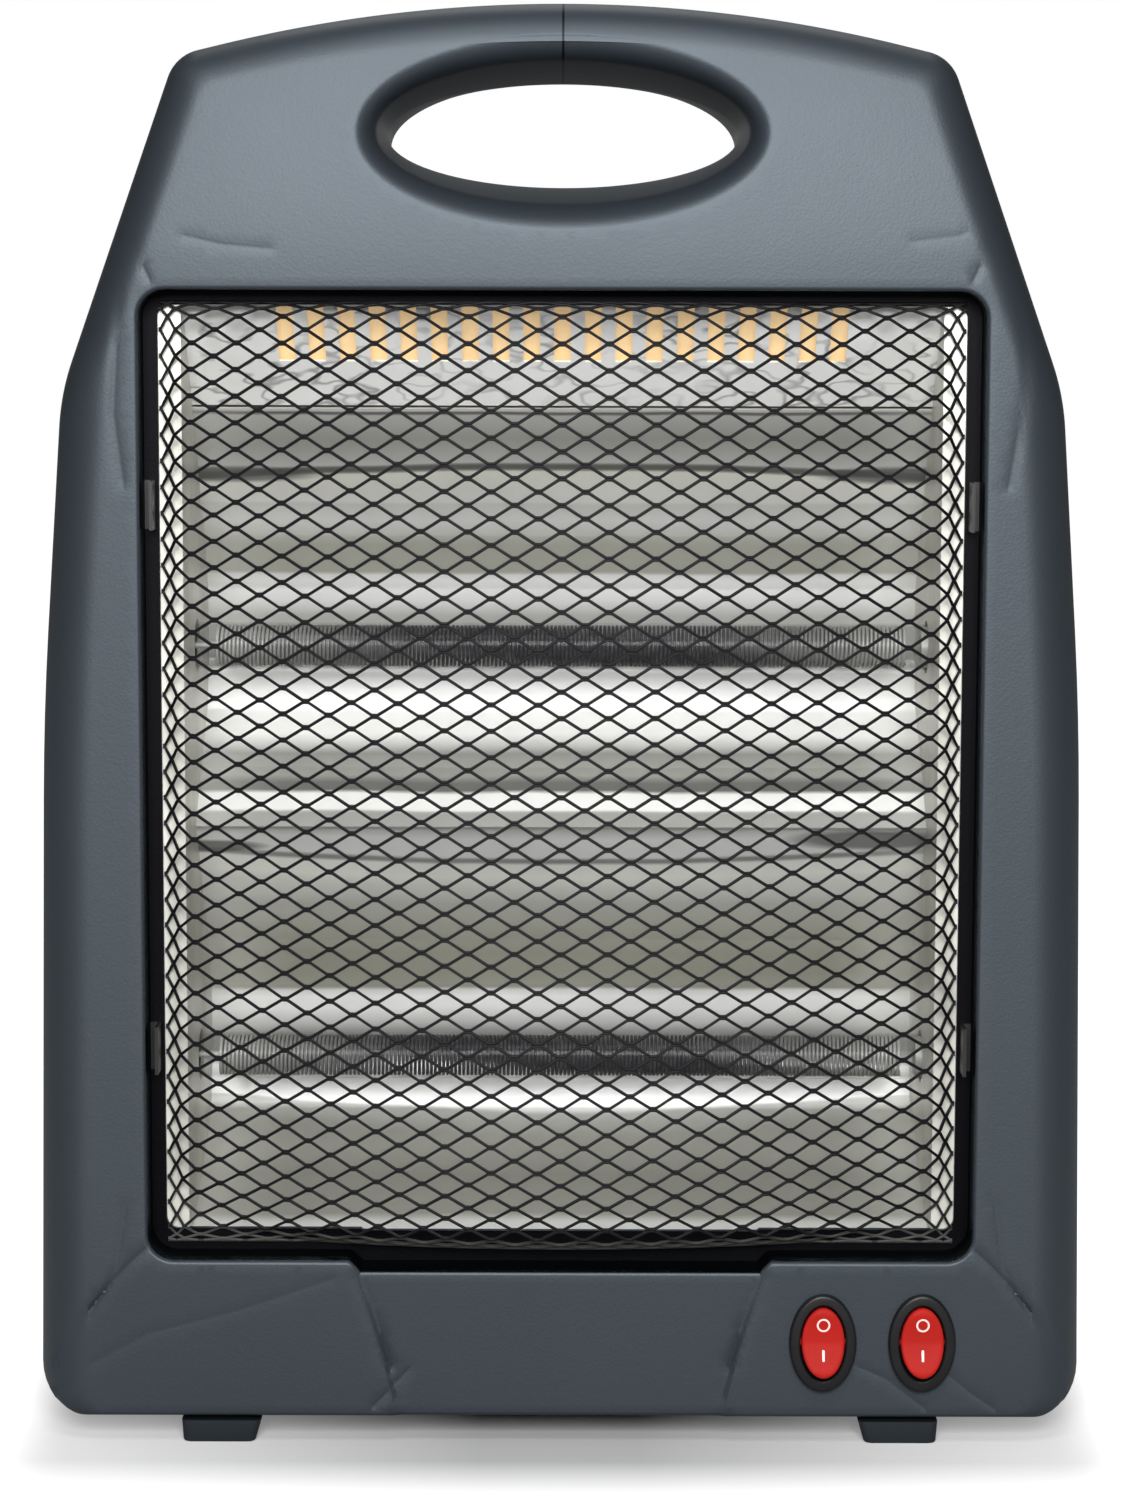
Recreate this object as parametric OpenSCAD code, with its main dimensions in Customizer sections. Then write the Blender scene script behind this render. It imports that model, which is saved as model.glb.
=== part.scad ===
// Portable electric bar heater: two quartz tubes in a polished reflector box,
// behind a bulging expanded-metal guard, in a two-shell plastic housing with a
// carrying hole, two rocker switches and a tip-over switch under the base.
// Front faces -Y, floor at z = 0, joint between the two covers at y = 0.

/* [Housing] */
// Width of the housing at the base
base_w = 266.2; // [260:0.2:280]
// Width where the sides start to lean in, above the base
waist_w = 260.6; // [256:0.2:263]
// Width at the shoulders
shoulder_w = 250; // [248:0.2:254]
// Width across the top corners
crown_w = 190.8; // [184:0.2:202]
// Height from the floor to the top of the handle
body_h = 357.7; // [355:0.1:368]
// Height of the waist above the floor
waist_z = 183; // [165:1:200]
// Drop from the top to the shoulders
shoulder_drop = 96.6; // [90:0.1:103]
// Drop from the top to the top corners
corner_drop = 12.8; // [11:0.5:16]
// How far above the top the two top edges would meet
arch_peak = 10; // [9:0.5:15]
// Depth of the front cover
front_depth = 42; // [40:0.5:46]
// Depth of the rear cover
rear_depth = 52; // [50:0.5:58]
// Wall of both covers
wall = 2.5; // [2:0.1:3]
// Radius of the bottom corners
base_r = 14; // [9:0.5:16]
// Width of the rounding between the face and the sides
edge_round = 13.4; // [9:0.2:15]

/* [Handle hole] */
// Half width of the hole at the joint between the covers
hole_a = 44; // [38:0.5:46]
// Half height of the hole at the joint between the covers
hole_b = 12.9; // [11:0.1:14]
// Height of the hole's centre above the floor
hole_z = 326.2; // [324:0.2:328]
// How much the half height grows towards each face
hole_flare = 5.6; // [4:0.2:6]
// Radius of the soft lip around the hole
hole_lip = 5; // [4:0.2:6]
// Wall of the hole's sleeve
sleeve_wall = 2.2; // [1.6:0.1:2.6]

/* [Window] */
// Width of the window in the front cover
window_w = 205; // [200:1:207]
// Lowest edge of the window beside the badge panel
window_z0 = 47.8; // [46:0.2:50]
// Top edge of the window
window_z1 = 287.3; // [285:0.1:289]
// Radius of the window's corners
window_r = 6.5; // [4:0.5:9]
// How far the window's return goes back from the face
return_depth = 14; // [12:0.5:15]
// Thickness of the return and its ledge
return_t = 2; // [1.6:0.1:2.4]
// Width of the badge panel at the window
badge_w = 99; // [90:1:110]
// Width of the badge panel near the base
badge_w0 = 85; // [76:1:88]
// Height of the badge panel's lower end
badge_z0 = 12.5; // [12:0.5:16]
// Depth of the badge panel below the face
badge_depth = 0.9; // [0.5:0.1:1.2]
// Step down of the window's edge over the badge panel
badge_step = 2.8; // [2:0.2:3.4]

/* [Guard] */
// Gap between the guard's edge and the window
guard_gap = 2.8; // [2:0.2:3.2]
// How far the guard's crown stands in front of the face
guard_proud = 12; // [8:0.5:14]
// Radius of the guard's bulge across its width
guard_r = 257; // [250:1:290]
// Thickness of the expanded metal
guard_t = 1.2; // [1:0.1:1.6]
// Width of the diamonds between the drawn strands
cell_w = 23.4; // [20:0.2:28]
// Height of the diamonds between the drawn strands
cell_h = 13; // [11:0.2:16]
// Width of a strand
strand = 1.1; // [0.9:0.1:1.6]
// Solid edge strip around the guard
guard_rim = 2; // [1.6:0.2:3]

/* [Reflector] */
// Inner width of the reflector box, between its side plates
box_w = 188; // [184:1:190]
// Sheet thickness of the reflectors
sheet_t = 0.6; // [0.5:0.05:0.9]
// Sheet thickness of the side plates
plate_t = 0.8; // [0.6:0.1:1.2]
// Height of the lower tube above the floor
tube_z = 91; // [89:0.5:93]
// Distance between the two tubes
tube_pitch = 106.5; // [104:0.5:107.5]
// Depth of a trough behind the joint between the covers
trough_y = 30; // [26:0.5:31]
// Vent slots in the top panel
slot_count = 19; // [9:1:21]
// Distance between two vent slots
slot_pitch = 7.6; // [7:0.1:8]
// Width of a vent slot
slot_w = 4.1; // [3:0.1:4.6]
// Gap between the top panel and the mica sheet behind its slots
mica_gap = 2.4; // [2:0.1:2.6]

/* [Heating tubes] */
// Outer diameter of the quartz tubes
tube_d = 12; // [10:0.5:13]
// Wall of the quartz tubes
tube_wall = 0.9; // [0.7:0.1:1.2]
// Outer diameter of the heating coils
coil_d = 9.4; // [7:0.1:9.6]
// Thickness of the wound wire
coil_wire = 0.8; // [0.6:0.1:1.2]
// Distance of the tubes' axes behind the joint between the covers
tube_y = 2; // [0:0.5:4]
// Outer diameter of the ceramic end caps
cap_d = 17; // [16:0.5:18]
// Length of an end cap
cap_len = 14; // [12:0.5:15]

/* [Switches] */
// Distance of the first switch from the centre
switch_x = 65.5; // [64:0.5:67]
// Distance between the two switches
switch_pitch = 24.7; // [22:0.1:26]
// Height of the switches above the floor
switch_z = 27.4; // [27:0.1:29]
// Width of a switch bezel
bezel_w = 16.7; // [16:0.1:18]
// Height of a switch bezel
bezel_h = 24.8; // [24:0.1:26]
// How far the bezel stands in front of the face
bezel_t = 1.4; // [1:0.1:2]
// Width of a rocker
rocker_w = 10.7; // [10:0.1:11]
// Height of a rocker
rocker_h = 17.5; // [16.6:0.1:18]
// Tilt of a rocker to each side of its middle position
rocker_tilt = 8; // [6:0.5:8.5]
// Radius of a rocker's trunnions
trunnion_r = 1; // [0.8:0.05:1.1]

/* [Base] */
// Height of the feet under the housing
foot_h = 5.6; // [5:0.1:7]
// Width of a foot at its top
foot_w = 20; // [16:0.5:24]
// Distance between the feet, centre to centre
foot_track = 170; // [150:1:180]
// Radius of the tip-over plunger
plunger_r = 3.5; // [3:0.1:4]
// Travel of the tip-over plunger
plunger_travel = 4; // [3:0.2:4.6]
// Bore of the cord entry bush
cord_bore = 7.4; // [6:0.1:8]

/* [Hidden] */
$fn = 48;
running = 0.05;      // radial clearance of a running fit
gap = 0.1;           // clearance between parts that seat on each other
loose = 0.3;         // clearance between parts that only pass each other
eps = 0.5;           // overshoot of a cut beyond the surface it opens
face_y = -front_depth;
back_y = rear_depth;
floor_z = foot_h;    // underside of the housing
in_floor = floor_z + wall;
bed_z = in_floor + 1.2;  // top of the pads that carry the parts on the floor
half_window = window_w/2;
window_mid = (window_z0 + window_z1)/2;
ledge_y = face_y + return_depth;
tube_top_z = tube_z + tube_pitch;
tube_zs = [tube_z, tube_top_z];
plate_x = box_w/2;
plate_out = plate_x + plate_t;
switch_xs = [switch_x, switch_x + switch_pitch];

// ---- outlines -------------------------------------------------------------

function unit(v) = v/norm(v);
function out_normal(a, b) = let (u = unit(b - a)) [u[1], -u[0]];

// Corner p after its two edges have moved inwards by d1 and d2
function moved_corner(p, n1, d1, n2, d2) =
    let (c1 = n1*p - d1, c2 = n2*p - d2, det = n1[0]*n2[1] - n1[1]*n2[0])
    [(c1*n2[1] - c2*n1[1])/det, (n1[0]*c2 - n2[0]*c1)/det];

// Polygon with each edge moved inwards by d times its own factor
function inset_poly(pts, k, d) =
    let (n = len(pts))
    [for (i = [0:n - 1])
        let (before = (i + n - 1) % n, after = (i + 1) % n)
        moved_corner(pts[i], out_normal(pts[before], pts[i]), d*k[before],
                     out_normal(pts[i], pts[after]), d*k[i])];

// Arc of radius r in the corner p between a and b, in steps + 1 points
function corner_arc(a, p, b, r, steps) =
    let (u1 = unit(a - p), u2 = unit(b - p), half = acos(u1*u2)/2,
         centre = p + unit(u1 + u2)*r/sin(half),
         start = p + u1*r/tan(half) - centre,
         first = atan2(start[1], start[0]), turn = 180 - 2*half)
    [for (i = [0:steps])
        centre + r*[cos(first + turn*i/steps), sin(first + turn*i/steps)]];

function round_poly(pts, radii, steps) =
    let (n = len(pts))
    [for (i = [0:n - 1])
        each corner_arc(pts[(i + n - 1) % n], pts[i], pts[(i + 1) % n], radii[i], steps[i])];

function mirrored(pts) = [for (i = [len(pts) - 1:-1:0]) [-pts[i][0], pts[i][1]]];
function ellipse_pts(a, b, z = 0, n = 48) = [for (i = [0:n - 1]) [a*cos(360*i/n), z + b*sin(360*i/n)]];
function at_y(pts, y) = [for (p = pts) [p[0], y, p[1]]];

// ---- housing outline ------------------------------------------------------

half_side = [
    [base_w/2, floor_z],
    [waist_w/2, waist_z],
    [shoulder_w/2, body_h - shoulder_drop],
    [crown_w/2, body_h - corner_drop]];
outline = concat(half_side, [[0, body_h + arch_peak]], mirrored(half_side));
arch_slope = atan((arch_peak + corner_drop)/(crown_w/2));
arch_r = arch_peak/(1/cos(arch_slope) - 1);
shoulder_r = 62;
crown_r = 12;
// The waist's corner is so blunt that its rounding is set by how far it reaches along the sides
waist_blend = 17;
waist_turn = acos(unit(half_side[1] - half_side[0])*unit(half_side[2] - half_side[1]));
side_radii = [base_r, waist_blend/tan(waist_turn/2), shoulder_r, crown_r];
radii = concat(side_radii, [arch_r], [for (i = [3:-1:0]) side_radii[i]]);
side_steps = [5, 2, 4, 5];
steps = concat(side_steps, [14], [for (i = [3:-1:0]) side_steps[i]]);
// How strongly each edge of the outline draws in towards the faces
side_pull = [1, 1, 0.9];
pull = concat(side_pull, [0.75, 0.75], [for (i = [2:-1:0]) side_pull[i]], [0.2]);

function shell_outline(inset) =
    round_poly(inset_poly(outline, pull, inset), [for (r = radii) max(r - inset, 6)], steps);

// Inset and depth of the outer skin: a drafted wall, then a quarter round
draft = 1.6;
function skin_inset(depth, full) =
    let (flat = full - 18)
    depth < flat ? draft*pow(depth/flat, 2)
                 : draft + edge_round*(1 - sqrt(max(0, 1 - pow((depth - flat)/18, 2))));
skin_steps = 6;
function skin_depths(full) = concat([0, (full - 18)*0.6],
    [for (i = [0:skin_steps]) full - 18 + 18*sin(90*i/skin_steps)]);
function skin_rings(full, side) =
    [for (d = skin_depths(full)) at_y(shell_outline(skin_inset(d, full)), side*d)];
function lining_rings(full, side) =
    [for (d = skin_depths(full - wall))
        at_y(inset_ring(skin_inset(d, full - wall)), side*d)];
function inset_ring(inset) =
    round_poly(inset_poly(inset_poly(outline, [for (p = pull) 1], wall), pull, inset),
               [for (r = radii) max(r - wall - inset, 4)], steps);
function reversed(list) = [for (i = [len(list) - 1:-1:0]) list[i]];

// Solid through a list of rings with equal numbers of points
module loft(rings) {
    n = len(rings[0]);
    m = len(rings);
    sides = [for (i = [0:m - 2], j = [0:n - 1])
        let (a = i*n + j, b = i*n + (j + 1) % n, c = a + n, d = b + n)
        each [[a, b, c], [b, d, c]]];
    polyhedron(points = [for (r = rings) each r],
               faces = concat([[for (j = [n - 1:-1:0]) j]], sides,
                              [[for (j = [0:n - 1]) (m - 1)*n + j]]));
}

// Tube of radius r along points, with flat ends
module sweep(pts, r, sides = 8) {
    n = len(pts);
    up = unit([0.31, 0.52, 0.79]);
    tangents = [for (i = [0:n - 1])
        unit(i == 0 ? pts[1] - pts[0] : i == n - 1 ? pts[i] - pts[i - 1]
             : unit(pts[i + 1] - pts[i]) + unit(pts[i] - pts[i - 1]))];
    rings = [for (i = [0:n - 1])
        let (t = tangents[i], u = unit(cross(t, up)), v = cross(t, u))
        [for (j = [0:sides - 1]) pts[i] + r*(cos(360*j/sides)*u + sin(360*j/sides)*v)]];
    sides_faces = [for (i = [0:n - 2], j = [0:sides - 1])
        let (a = i*sides + j, b = i*sides + (j + 1) % sides, c = a + sides, d = b + sides)
        each [[a, c, b], [b, c, d]]];
    polyhedron(points = [for (ring = rings) each ring],
               faces = concat([[for (j = [0:sides - 1]) j]], sides_faces,
                              [[for (j = [sides - 1:-1:0]) (n - 1)*sides + j]]));
}

// ---- small helpers --------------------------------------------------------

module plate_xz(pts, y0, y1) {
    translate([0, y1, 0]) rotate([90, 0, 0]) linear_extrude(height = y1 - y0) polygon(pts);
}
module plate_yz(pts, x0, x1) {
    translate([x0, 0, 0]) rotate([90, 0, 90]) linear_extrude(height = x1 - x0) polygon(pts);
}
module rod_x(x0, x1, y, z, r) { translate([x0, y, z]) rotate([0, 90, 0]) cylinder(h = x1 - x0, r = r); }
module rod_y(y0, y1, x, z, r) { translate([x, y1, z]) rotate([90, 0, 0]) cylinder(h = y1 - y0, r = r); }
module rod_z(z0, z1, x, y, r) { translate([x, y, z0]) cylinder(h = z1 - z0, r = r); }
module block(x0, x1, y0, y1, z0, z1) { translate([x0, y0, z0]) cube([x1 - x0, y1 - y0, z1 - z0]); }

// ---- handle hole ----------------------------------------------------------

// Half axes of the hole at a distance t from a face that lies full from the joint
function hole_grow(t) = t >= hole_lip ? 0 : hole_lip*(1 - sqrt(max(0, 1 - pow(1 - t/hole_lip, 2))));
function hole_ring(t, full, grow = 0) =
    let (open = pow(max(0, 1 - t/full), 1.3), lip = hole_grow(max(t, 0)))
    ellipse_pts(hole_a + 1.5*open + lip + grow, hole_b + hole_flare*open + lip + grow,
                hole_z - 1.2*open);
hole_stations = [0, 0.12, 0.35, 0.7, 1.6, 3];
function hole_ts(full) = concat([for (s = hole_stations) s*hole_lip/3], [full*0.35, full*0.65, full]);

module hole_cut(full, side) {
    rings = concat([at_y(hole_ring(0, full), side*(full + eps))],
                   [for (t = hole_ts(full)) at_y(hole_ring(t, full), side*(full - t))],
                   [at_y(hole_ring(full, full), -side*eps)]);
    loft(side > 0 ? reversed(rings) : rings);
}
module hole_sleeve(full, side) {
    ts = [for (t = hole_ts(full)) if (t > hole_lip*0.2) t];
    rings = [for (t = ts) at_y(hole_ring(t, full, sleeve_wall), side*(full - t))];
    loft(side > 0 ? reversed(rings) : rings);
}

// ---- screws ---------------------------------------------------------------

screw_r = 1.5;
screw_head_r = 3;
screw_head_h = 2;
boss_r = 4;
boss_places = [[112, 26], [112, 145], [84, 314]];
screw_seat = 8;      // depth of a housing screw's head behind the joint
screw_reach = 16;    // how far a housing screw enters the front cover
frame_screw_x = 108;
frame_screw_zs = [window_z0 + 20.2, body_h - shoulder_drop + 8.9];
frame_screw_len = 9;
foot_screw_ys = [-20, 30];
foot_boss_h = 8;
flange_t = plate_t;

module both_sides() { children(); mirror([1, 0, 0]) children(); }
module at_bosses() { both_sides() for (p = boss_places) translate([p[0], 0, p[1]]) children(); }

module seat_screw_y(head_y, tip_y, x, z) {
    rod_y(tip_y, head_y, x, z, screw_r);
    rod_y(head_y, head_y + screw_head_h, x, z, screw_head_r);
}

// ---- housing --------------------------------------------------------------

badge_z1 = window_z0 - badge_step;
window_corners = [
    [half_window, window_z1], [-half_window, window_z1], [-half_window, window_z0],
    [-badge_w/2 - badge_step, window_z0], [-badge_w/2, badge_z1],
    [badge_w/2, badge_z1], [badge_w/2 + badge_step, window_z0], [half_window, window_z0]];
function window_shape(grow) =
    let (flat = inset_poly(window_corners, [for (p = window_corners) 1], -grow), r = window_r + grow)
    concat(corner_arc(flat[7], flat[0], flat[1], r, 6), corner_arc(flat[0], flat[1], flat[2], r, 6),
           corner_arc(flat[1], flat[2], flat[3], r, 6), [flat[3], flat[4], flat[5], flat[6]],
           corner_arc(flat[6], flat[7], flat[0], r, 6));

guard_hw = half_window - guard_gap;
guard_z0 = window_z0 + guard_gap*0.7;
guard_z1 = window_z1 - guard_gap*0.9;
ledge_in = 2;        // how far the ledge reaches in under the guard's edge
function ledge_hole() = [
    [guard_hw - ledge_in, guard_z0 + ledge_in], [guard_hw - ledge_in, guard_z1 - ledge_in],
    [-guard_hw + ledge_in, guard_z1 - ledge_in], [-guard_hw + ledge_in, guard_z0 + ledge_in]];

module switch_hole(x) {
    translate([x, 0, 0])
        plate_xz(ellipse_pts(bezel_w/2 - 1.3, bezel_h/2 - 1.3, switch_z), face_y - eps, face_y + wall + eps);
}
seat_front = 37.5;   // reach of the foot seats towards the front
seat_rear = 46;      // and towards the rear
module foot_seat(y0, y1) {
    both_sides()
        block(foot_track/2 - foot_w/2 - 1, foot_track/2 + foot_w/2 + 1, y0, y1, floor_z, in_floor + 1);
}
module foot_bosses(y) {
    both_sides() rod_z(floor_z + 1, in_floor + foot_boss_h, foot_track/2, y, boss_r);
}
module foot_pilots(y) {
    both_sides() rod_z(floor_z - eps, in_floor + foot_boss_h - 1, foot_track/2, y, screw_r + running);
}

module front_cover() {
    color([0.27, 0.30, 0.34])
    difference() {
        union() {
            loft(concat(reversed(skin_rings(front_depth, -1)), lining_rings(front_depth, -1)));
            difference() {
                plate_xz(window_shape(return_t), face_y + 1, ledge_y);
                plate_xz(window_shape(0), face_y, ledge_y - return_t);
                plate_xz(ledge_hole(), ledge_y - return_t - eps, ledge_y + eps);
            }
            hole_sleeve(front_depth, -1);
            at_bosses() rod_y(face_y + 1, 0, 0, 0, boss_r);
            both_sides() for (z = frame_screw_zs) rod_y(face_y + 1, ledge_y, frame_screw_x, z, 3.4);
            foot_seat(-seat_front, 0);
            foot_bosses(foot_screw_ys[0]);
        }
        hole_cut(front_depth, -1);
        plate_xz(window_shape(0), face_y - eps, face_y + wall + eps);
        plate_xz([[badge_w/2, badge_z1 + eps], [-badge_w/2, badge_z1 + eps],
                  [-badge_w0/2, badge_z0], [badge_w0/2, badge_z0]], face_y - eps, face_y + badge_depth);
        for (x = switch_xs) switch_hole(x);
        at_bosses() rod_y(-screw_reach - 1, eps, 0, 0, screw_r + running);
        both_sides() for (z = frame_screw_zs)
            rod_y(ledge_y - frame_screw_len, ledge_y + eps, frame_screw_x, z, screw_r + running);
        foot_pilots(foot_screw_ys[0]);
    }
}

vent_rows = 11;
vent_pitch = 15;
vent_z0 = 96;
vent_len = 74;
vent_h = 4;
bush_x = -96;
bush_z = 30;
bush_r = 6.4;
tilt_x = 0;
tilt_y = 22;

module vent_slot(x, z) {
    half = vent_len/2 - vent_h/2;
    block(x - half, x + half, back_y - wall - eps, back_y + eps, z - vent_h/2, z + vent_h/2);
    for (s = [-1, 1]) rod_y(back_y - wall - eps, back_y + eps, x + s*half, z, vent_h/2);
}

module floor_pad(x, y, w, d) {
    block(x - w/2, x + w/2, y - d/2, y + d/2, in_floor - 1, bed_z);
}
module rear_cover() {
    color([0.25, 0.28, 0.32])
    difference() {
        union() {
            loft(concat(reversed(lining_rings(rear_depth, 1)), skin_rings(rear_depth, 1)));
            hole_sleeve(rear_depth, 1);
            at_bosses() rod_y(0, back_y - 1, 0, 0, boss_r + 0.6);
            foot_seat(0, seat_rear);
            foot_bosses(foot_screw_ys[1]);
            floor_pad(tilt_x, tilt_y, tilt_w, tilt_w);
            floor_pad(block_x, block_y, block_w, block_d);
        }
        hole_cut(rear_depth, 1);
        for (x = [-vent_len/2 - 6, vent_len/2 + 6], i = [0:vent_rows - 1])
            vent_slot(x, vent_z0 + i*vent_pitch);
        at_bosses() {
            rod_y(-eps, back_y, 0, 0, screw_r + 0.3);
            rod_y(screw_seat, back_y + eps, 0, 0, screw_head_r + 0.4);
        }
        foot_pilots(foot_screw_ys[1]);
        rod_z(floor_z - eps, bed_z + eps, tilt_x, tilt_y, plunger_r + 1);
        rod_y(back_y - wall - eps, back_y + eps, bush_x, bush_z, bush_r + gap);
    }
}

// ---- guard ----------------------------------------------------------------

crown_y = face_y - guard_proud;
guard_seat = ledge_y - return_t - gap;    // rear edge of the guard, just off the ledge
guard_axis_y = crown_y + guard_r;
end_drop = 13;       // how far the crown falls back at the top and bottom ends
end_len = 26;        // over this height

function guard_side(t) = [
    [guard_seat, guard_z0 + t], [crown_y + end_drop + t, guard_z0 + t + 1],
    [crown_y + end_drop*0.45 + t, guard_z0 + end_len*0.35],
    [crown_y + t, guard_z0 + end_len], [crown_y + t, guard_z1 - end_len],
    [crown_y + end_drop*0.45 + t, guard_z1 - end_len*0.35],
    [crown_y + end_drop + t, guard_z1 - t - 1], [guard_seat, guard_z1 - t]];
module guard_body(t) {
    intersection() {
        plate_yz(guard_side(t), -guard_hw + t, guard_hw - t);
        translate([0, guard_axis_y, 0]) cylinder(h = body_h, r = guard_r - t, $fn = 200);
    }
}
module guard() {
    cols = ceil(guard_hw/cell_w);
    rows = ceil((guard_z1 - guard_z0)/cell_h/2);
    a = cell_w/2 - strand;
    b = cell_h/2 - strand*cell_h/cell_w - 0.3;
    lo = guard_z0 + guard_rim;
    hi = guard_z1 - guard_rim;
    color([0.08, 0.08, 0.09])
    difference() {
        guard_body(0);
        guard_body(guard_t);
        block(-guard_hw + guard_t, guard_hw - guard_t, guard_seat - 1, guard_seat + 1,
              guard_z0 + guard_t, guard_z1 - guard_t);
        intersection() {
            block(-guard_hw + guard_rim, guard_hw - guard_rim, crown_y - 1, guard_seat, lo, hi);
            for (i = [-cols:cols], j = [-2*rows:2*rows]) {
                x = i*cell_w + (j % 2 == 0 ? 0 : cell_w/2);
                z = window_mid + j*cell_h/2;
                if (abs(x) + a/2 < guard_hw - guard_rim && z - b/2 > lo && z + b/2 < hi)
                    plate_xz([[x + a, z], [x, z + b], [x - a, z], [x, z - b]], crown_y - 1, guard_seat - 3);
            }
        }
    }
}

clip_zs = [100, 235];
clip_half = 6;
clip_reach = 8;
module guard_clips() {
    color([0.55, 0.55, 0.57])
    both_sides() for (z = clip_zs) {
        block(guard_hw + gap, guard_hw + gap + 0.8, ledge_y - return_t - clip_reach,
              ledge_y - return_t - gap, z - clip_half, z + clip_half);
        block(guard_hw + gap, half_window - gap, ledge_y - return_t - 0.9,
              ledge_y - return_t - gap, z - clip_half, z + clip_half);
    }
}

// ---- reflector box --------------------------------------------------------

// Trough section as y and height relative to its tube, from its top lip down
lip_up = 60.5;
trough_path = [
    [-5, lip_up], [10, 42], [22, 27], [trough_y, 13], [trough_y + 1, -6],
    [trough_y - 4, -19], [8, -32], [-6, lip_up - tube_pitch + 0.4]];
// The lower trough ends in a longer apron instead of a ridge
apron_path = concat([for (i = [0:5]) trough_path[i]], [[8, -27.5], [-24, guard_z0 - tube_z + 1]]);

// Strip of thickness t on the rear side of a path
function strip(path, t) =
    let (n = len(path),
         normals = [for (i = [0:n - 2]) let (u = unit(path[i + 1] - path[i])) [-u[1], u[0]]],
         backs = [for (i = [0:n - 1])
             let (a = normals[max(i - 1, 0)], b = normals[min(i, n - 2)])
             path[i] + unit(a + b)*t/sqrt((1 + a*b)/2)])
    concat(path, reversed(backs));
function moved(path, z) = [for (p = path) [p[0], p[1] + z]];

refl_hw = plate_x - 0.2;
module reflector_upper() {
    color([0.80, 0.80, 0.78]) plate_yz(strip(moved(trough_path, tube_top_z), sheet_t), -refl_hw, refl_hw);
}
module reflector_lower() {
    color([0.80, 0.80, 0.78]) plate_yz(strip(moved(apron_path, tube_z), sheet_t), -refl_hw, refl_hw);
}

panel_low = [-5, tube_top_z + lip_up + 0.9];
panel_high = [ledge_y + 0.6, guard_z1 + 0.4];
panel_dir = unit(panel_high - panel_low);
panel_len = norm(panel_high - panel_low);
slot_low = panel_len*0.42;
slot_high = panel_len*0.93;
module reflector_top() {
    color([0.86, 0.86, 0.84])
    difference() {
        plate_yz(strip([panel_high, panel_low], sheet_t), -refl_hw, refl_hw);
        for (i = [0:slot_count - 1]) {
            x = (i - (slot_count - 1)/2)*slot_pitch;
            a = panel_low + panel_dir*slot_low;
            b = panel_low + panel_dir*slot_high;
            out = [-panel_dir[1], panel_dir[0]]*2;
            plate_yz([a - out, b - out, b + out, a + out], x - slot_w/2, x + slot_w/2);
        }
    }
}
module mica_sheet() {
    back = [panel_dir[1], -panel_dir[0]]*(mica_gap + sheet_t);
    low = panel_low + panel_dir*1 + back;
    high = panel_low + panel_dir*(panel_len - 2) + back;
    foot = low - back*(mica_gap - gap)/(mica_gap + sheet_t);
    root = low + back*0.1;
    color([0.85, 0.62, 0.38])
    union() {
        plate_yz(strip([high, low], sheet_t), -refl_hw, refl_hw);
        plate_yz([root, root + panel_dir*2, foot + panel_dir*2, foot], -refl_hw, refl_hw);
    }
}

plate_bottom = guard_z0 + 3;
plate_top = guard_z1;
plate_back = trough_y + 5;
function side_outline() = [
    [ledge_y + gap, plate_bottom - 3], [plate_back, plate_bottom + 8], [plate_back, plate_top - 20],
    [plate_back - 16, plate_top], [ledge_y + gap, plate_top]];
cap_hole_r = tube_d/2 + 0.8;
shield_y = plate_back + gap;
shield_screw_zs = [75, 255];
shield_screw_len = 4;
module side_plate() {
    color([0.86, 0.78, 0.55])
    difference() {
        union() {
            plate_yz(side_outline(), plate_x, plate_out);
            block(plate_x, frame_screw_x + 4, ledge_y + gap, ledge_y + gap + flange_t,
                  plate_bottom, plate_top - 8);
            block(plate_x, plate_out + 9, plate_back - flange_t, plate_back, plate_bottom + 8, plate_top - 20);
        }
        for (z = tube_zs) rod_x(plate_x - 1, plate_out + 1, tube_y, z, cap_hole_r);
        for (z = frame_screw_zs) rod_y(ledge_y - 1, ledge_y + 3, frame_screw_x, z, screw_r + 0.2);
        for (z = shield_screw_zs) rod_y(plate_back - 3, plate_back + 1, plate_out + 5, z, screw_r + running);
        for (p = boss_places)
            block(p[0] - boss_r - 1, p[0] + boss_r + 1, ledge_y - 1, ledge_y + 3,
                  p[1] - boss_r - 1, p[1] + boss_r + 1);
    }
}
module heat_shield() {
    color([0.70, 0.71, 0.72])
    difference() {
        block(-plate_out - 9, plate_out + 9, shield_y, shield_y + sheet_t, plate_bottom + 8, plate_top - 20);
        both_sides() for (z = shield_screw_zs)
            rod_y(shield_y - 1, shield_y + 2, plate_out + 5, z, screw_r + 0.2);
        rod_y(shield_y - 1, shield_y + 2, earth_x, earth_z, screw_r + 0.2);
    }
}

// ---- heating tubes --------------------------------------------------------

tube_half = plate_out + 6;       // half length of a quartz tube
cap_x0 = plate_out + 0.2;
cap_bore = 6.4;                  // depth to which a tube sits in its cap
pin_r = 1.2;
module quartz_tube(z) {
    color([0.75, 0.76, 0.78, 0.6])
    difference() {
        rod_x(-tube_half, tube_half, tube_y, z, tube_d/2);
        rod_x(-tube_half - 1, tube_half + 1, tube_y, z, tube_d/2 - tube_wall);
    }
}
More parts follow.
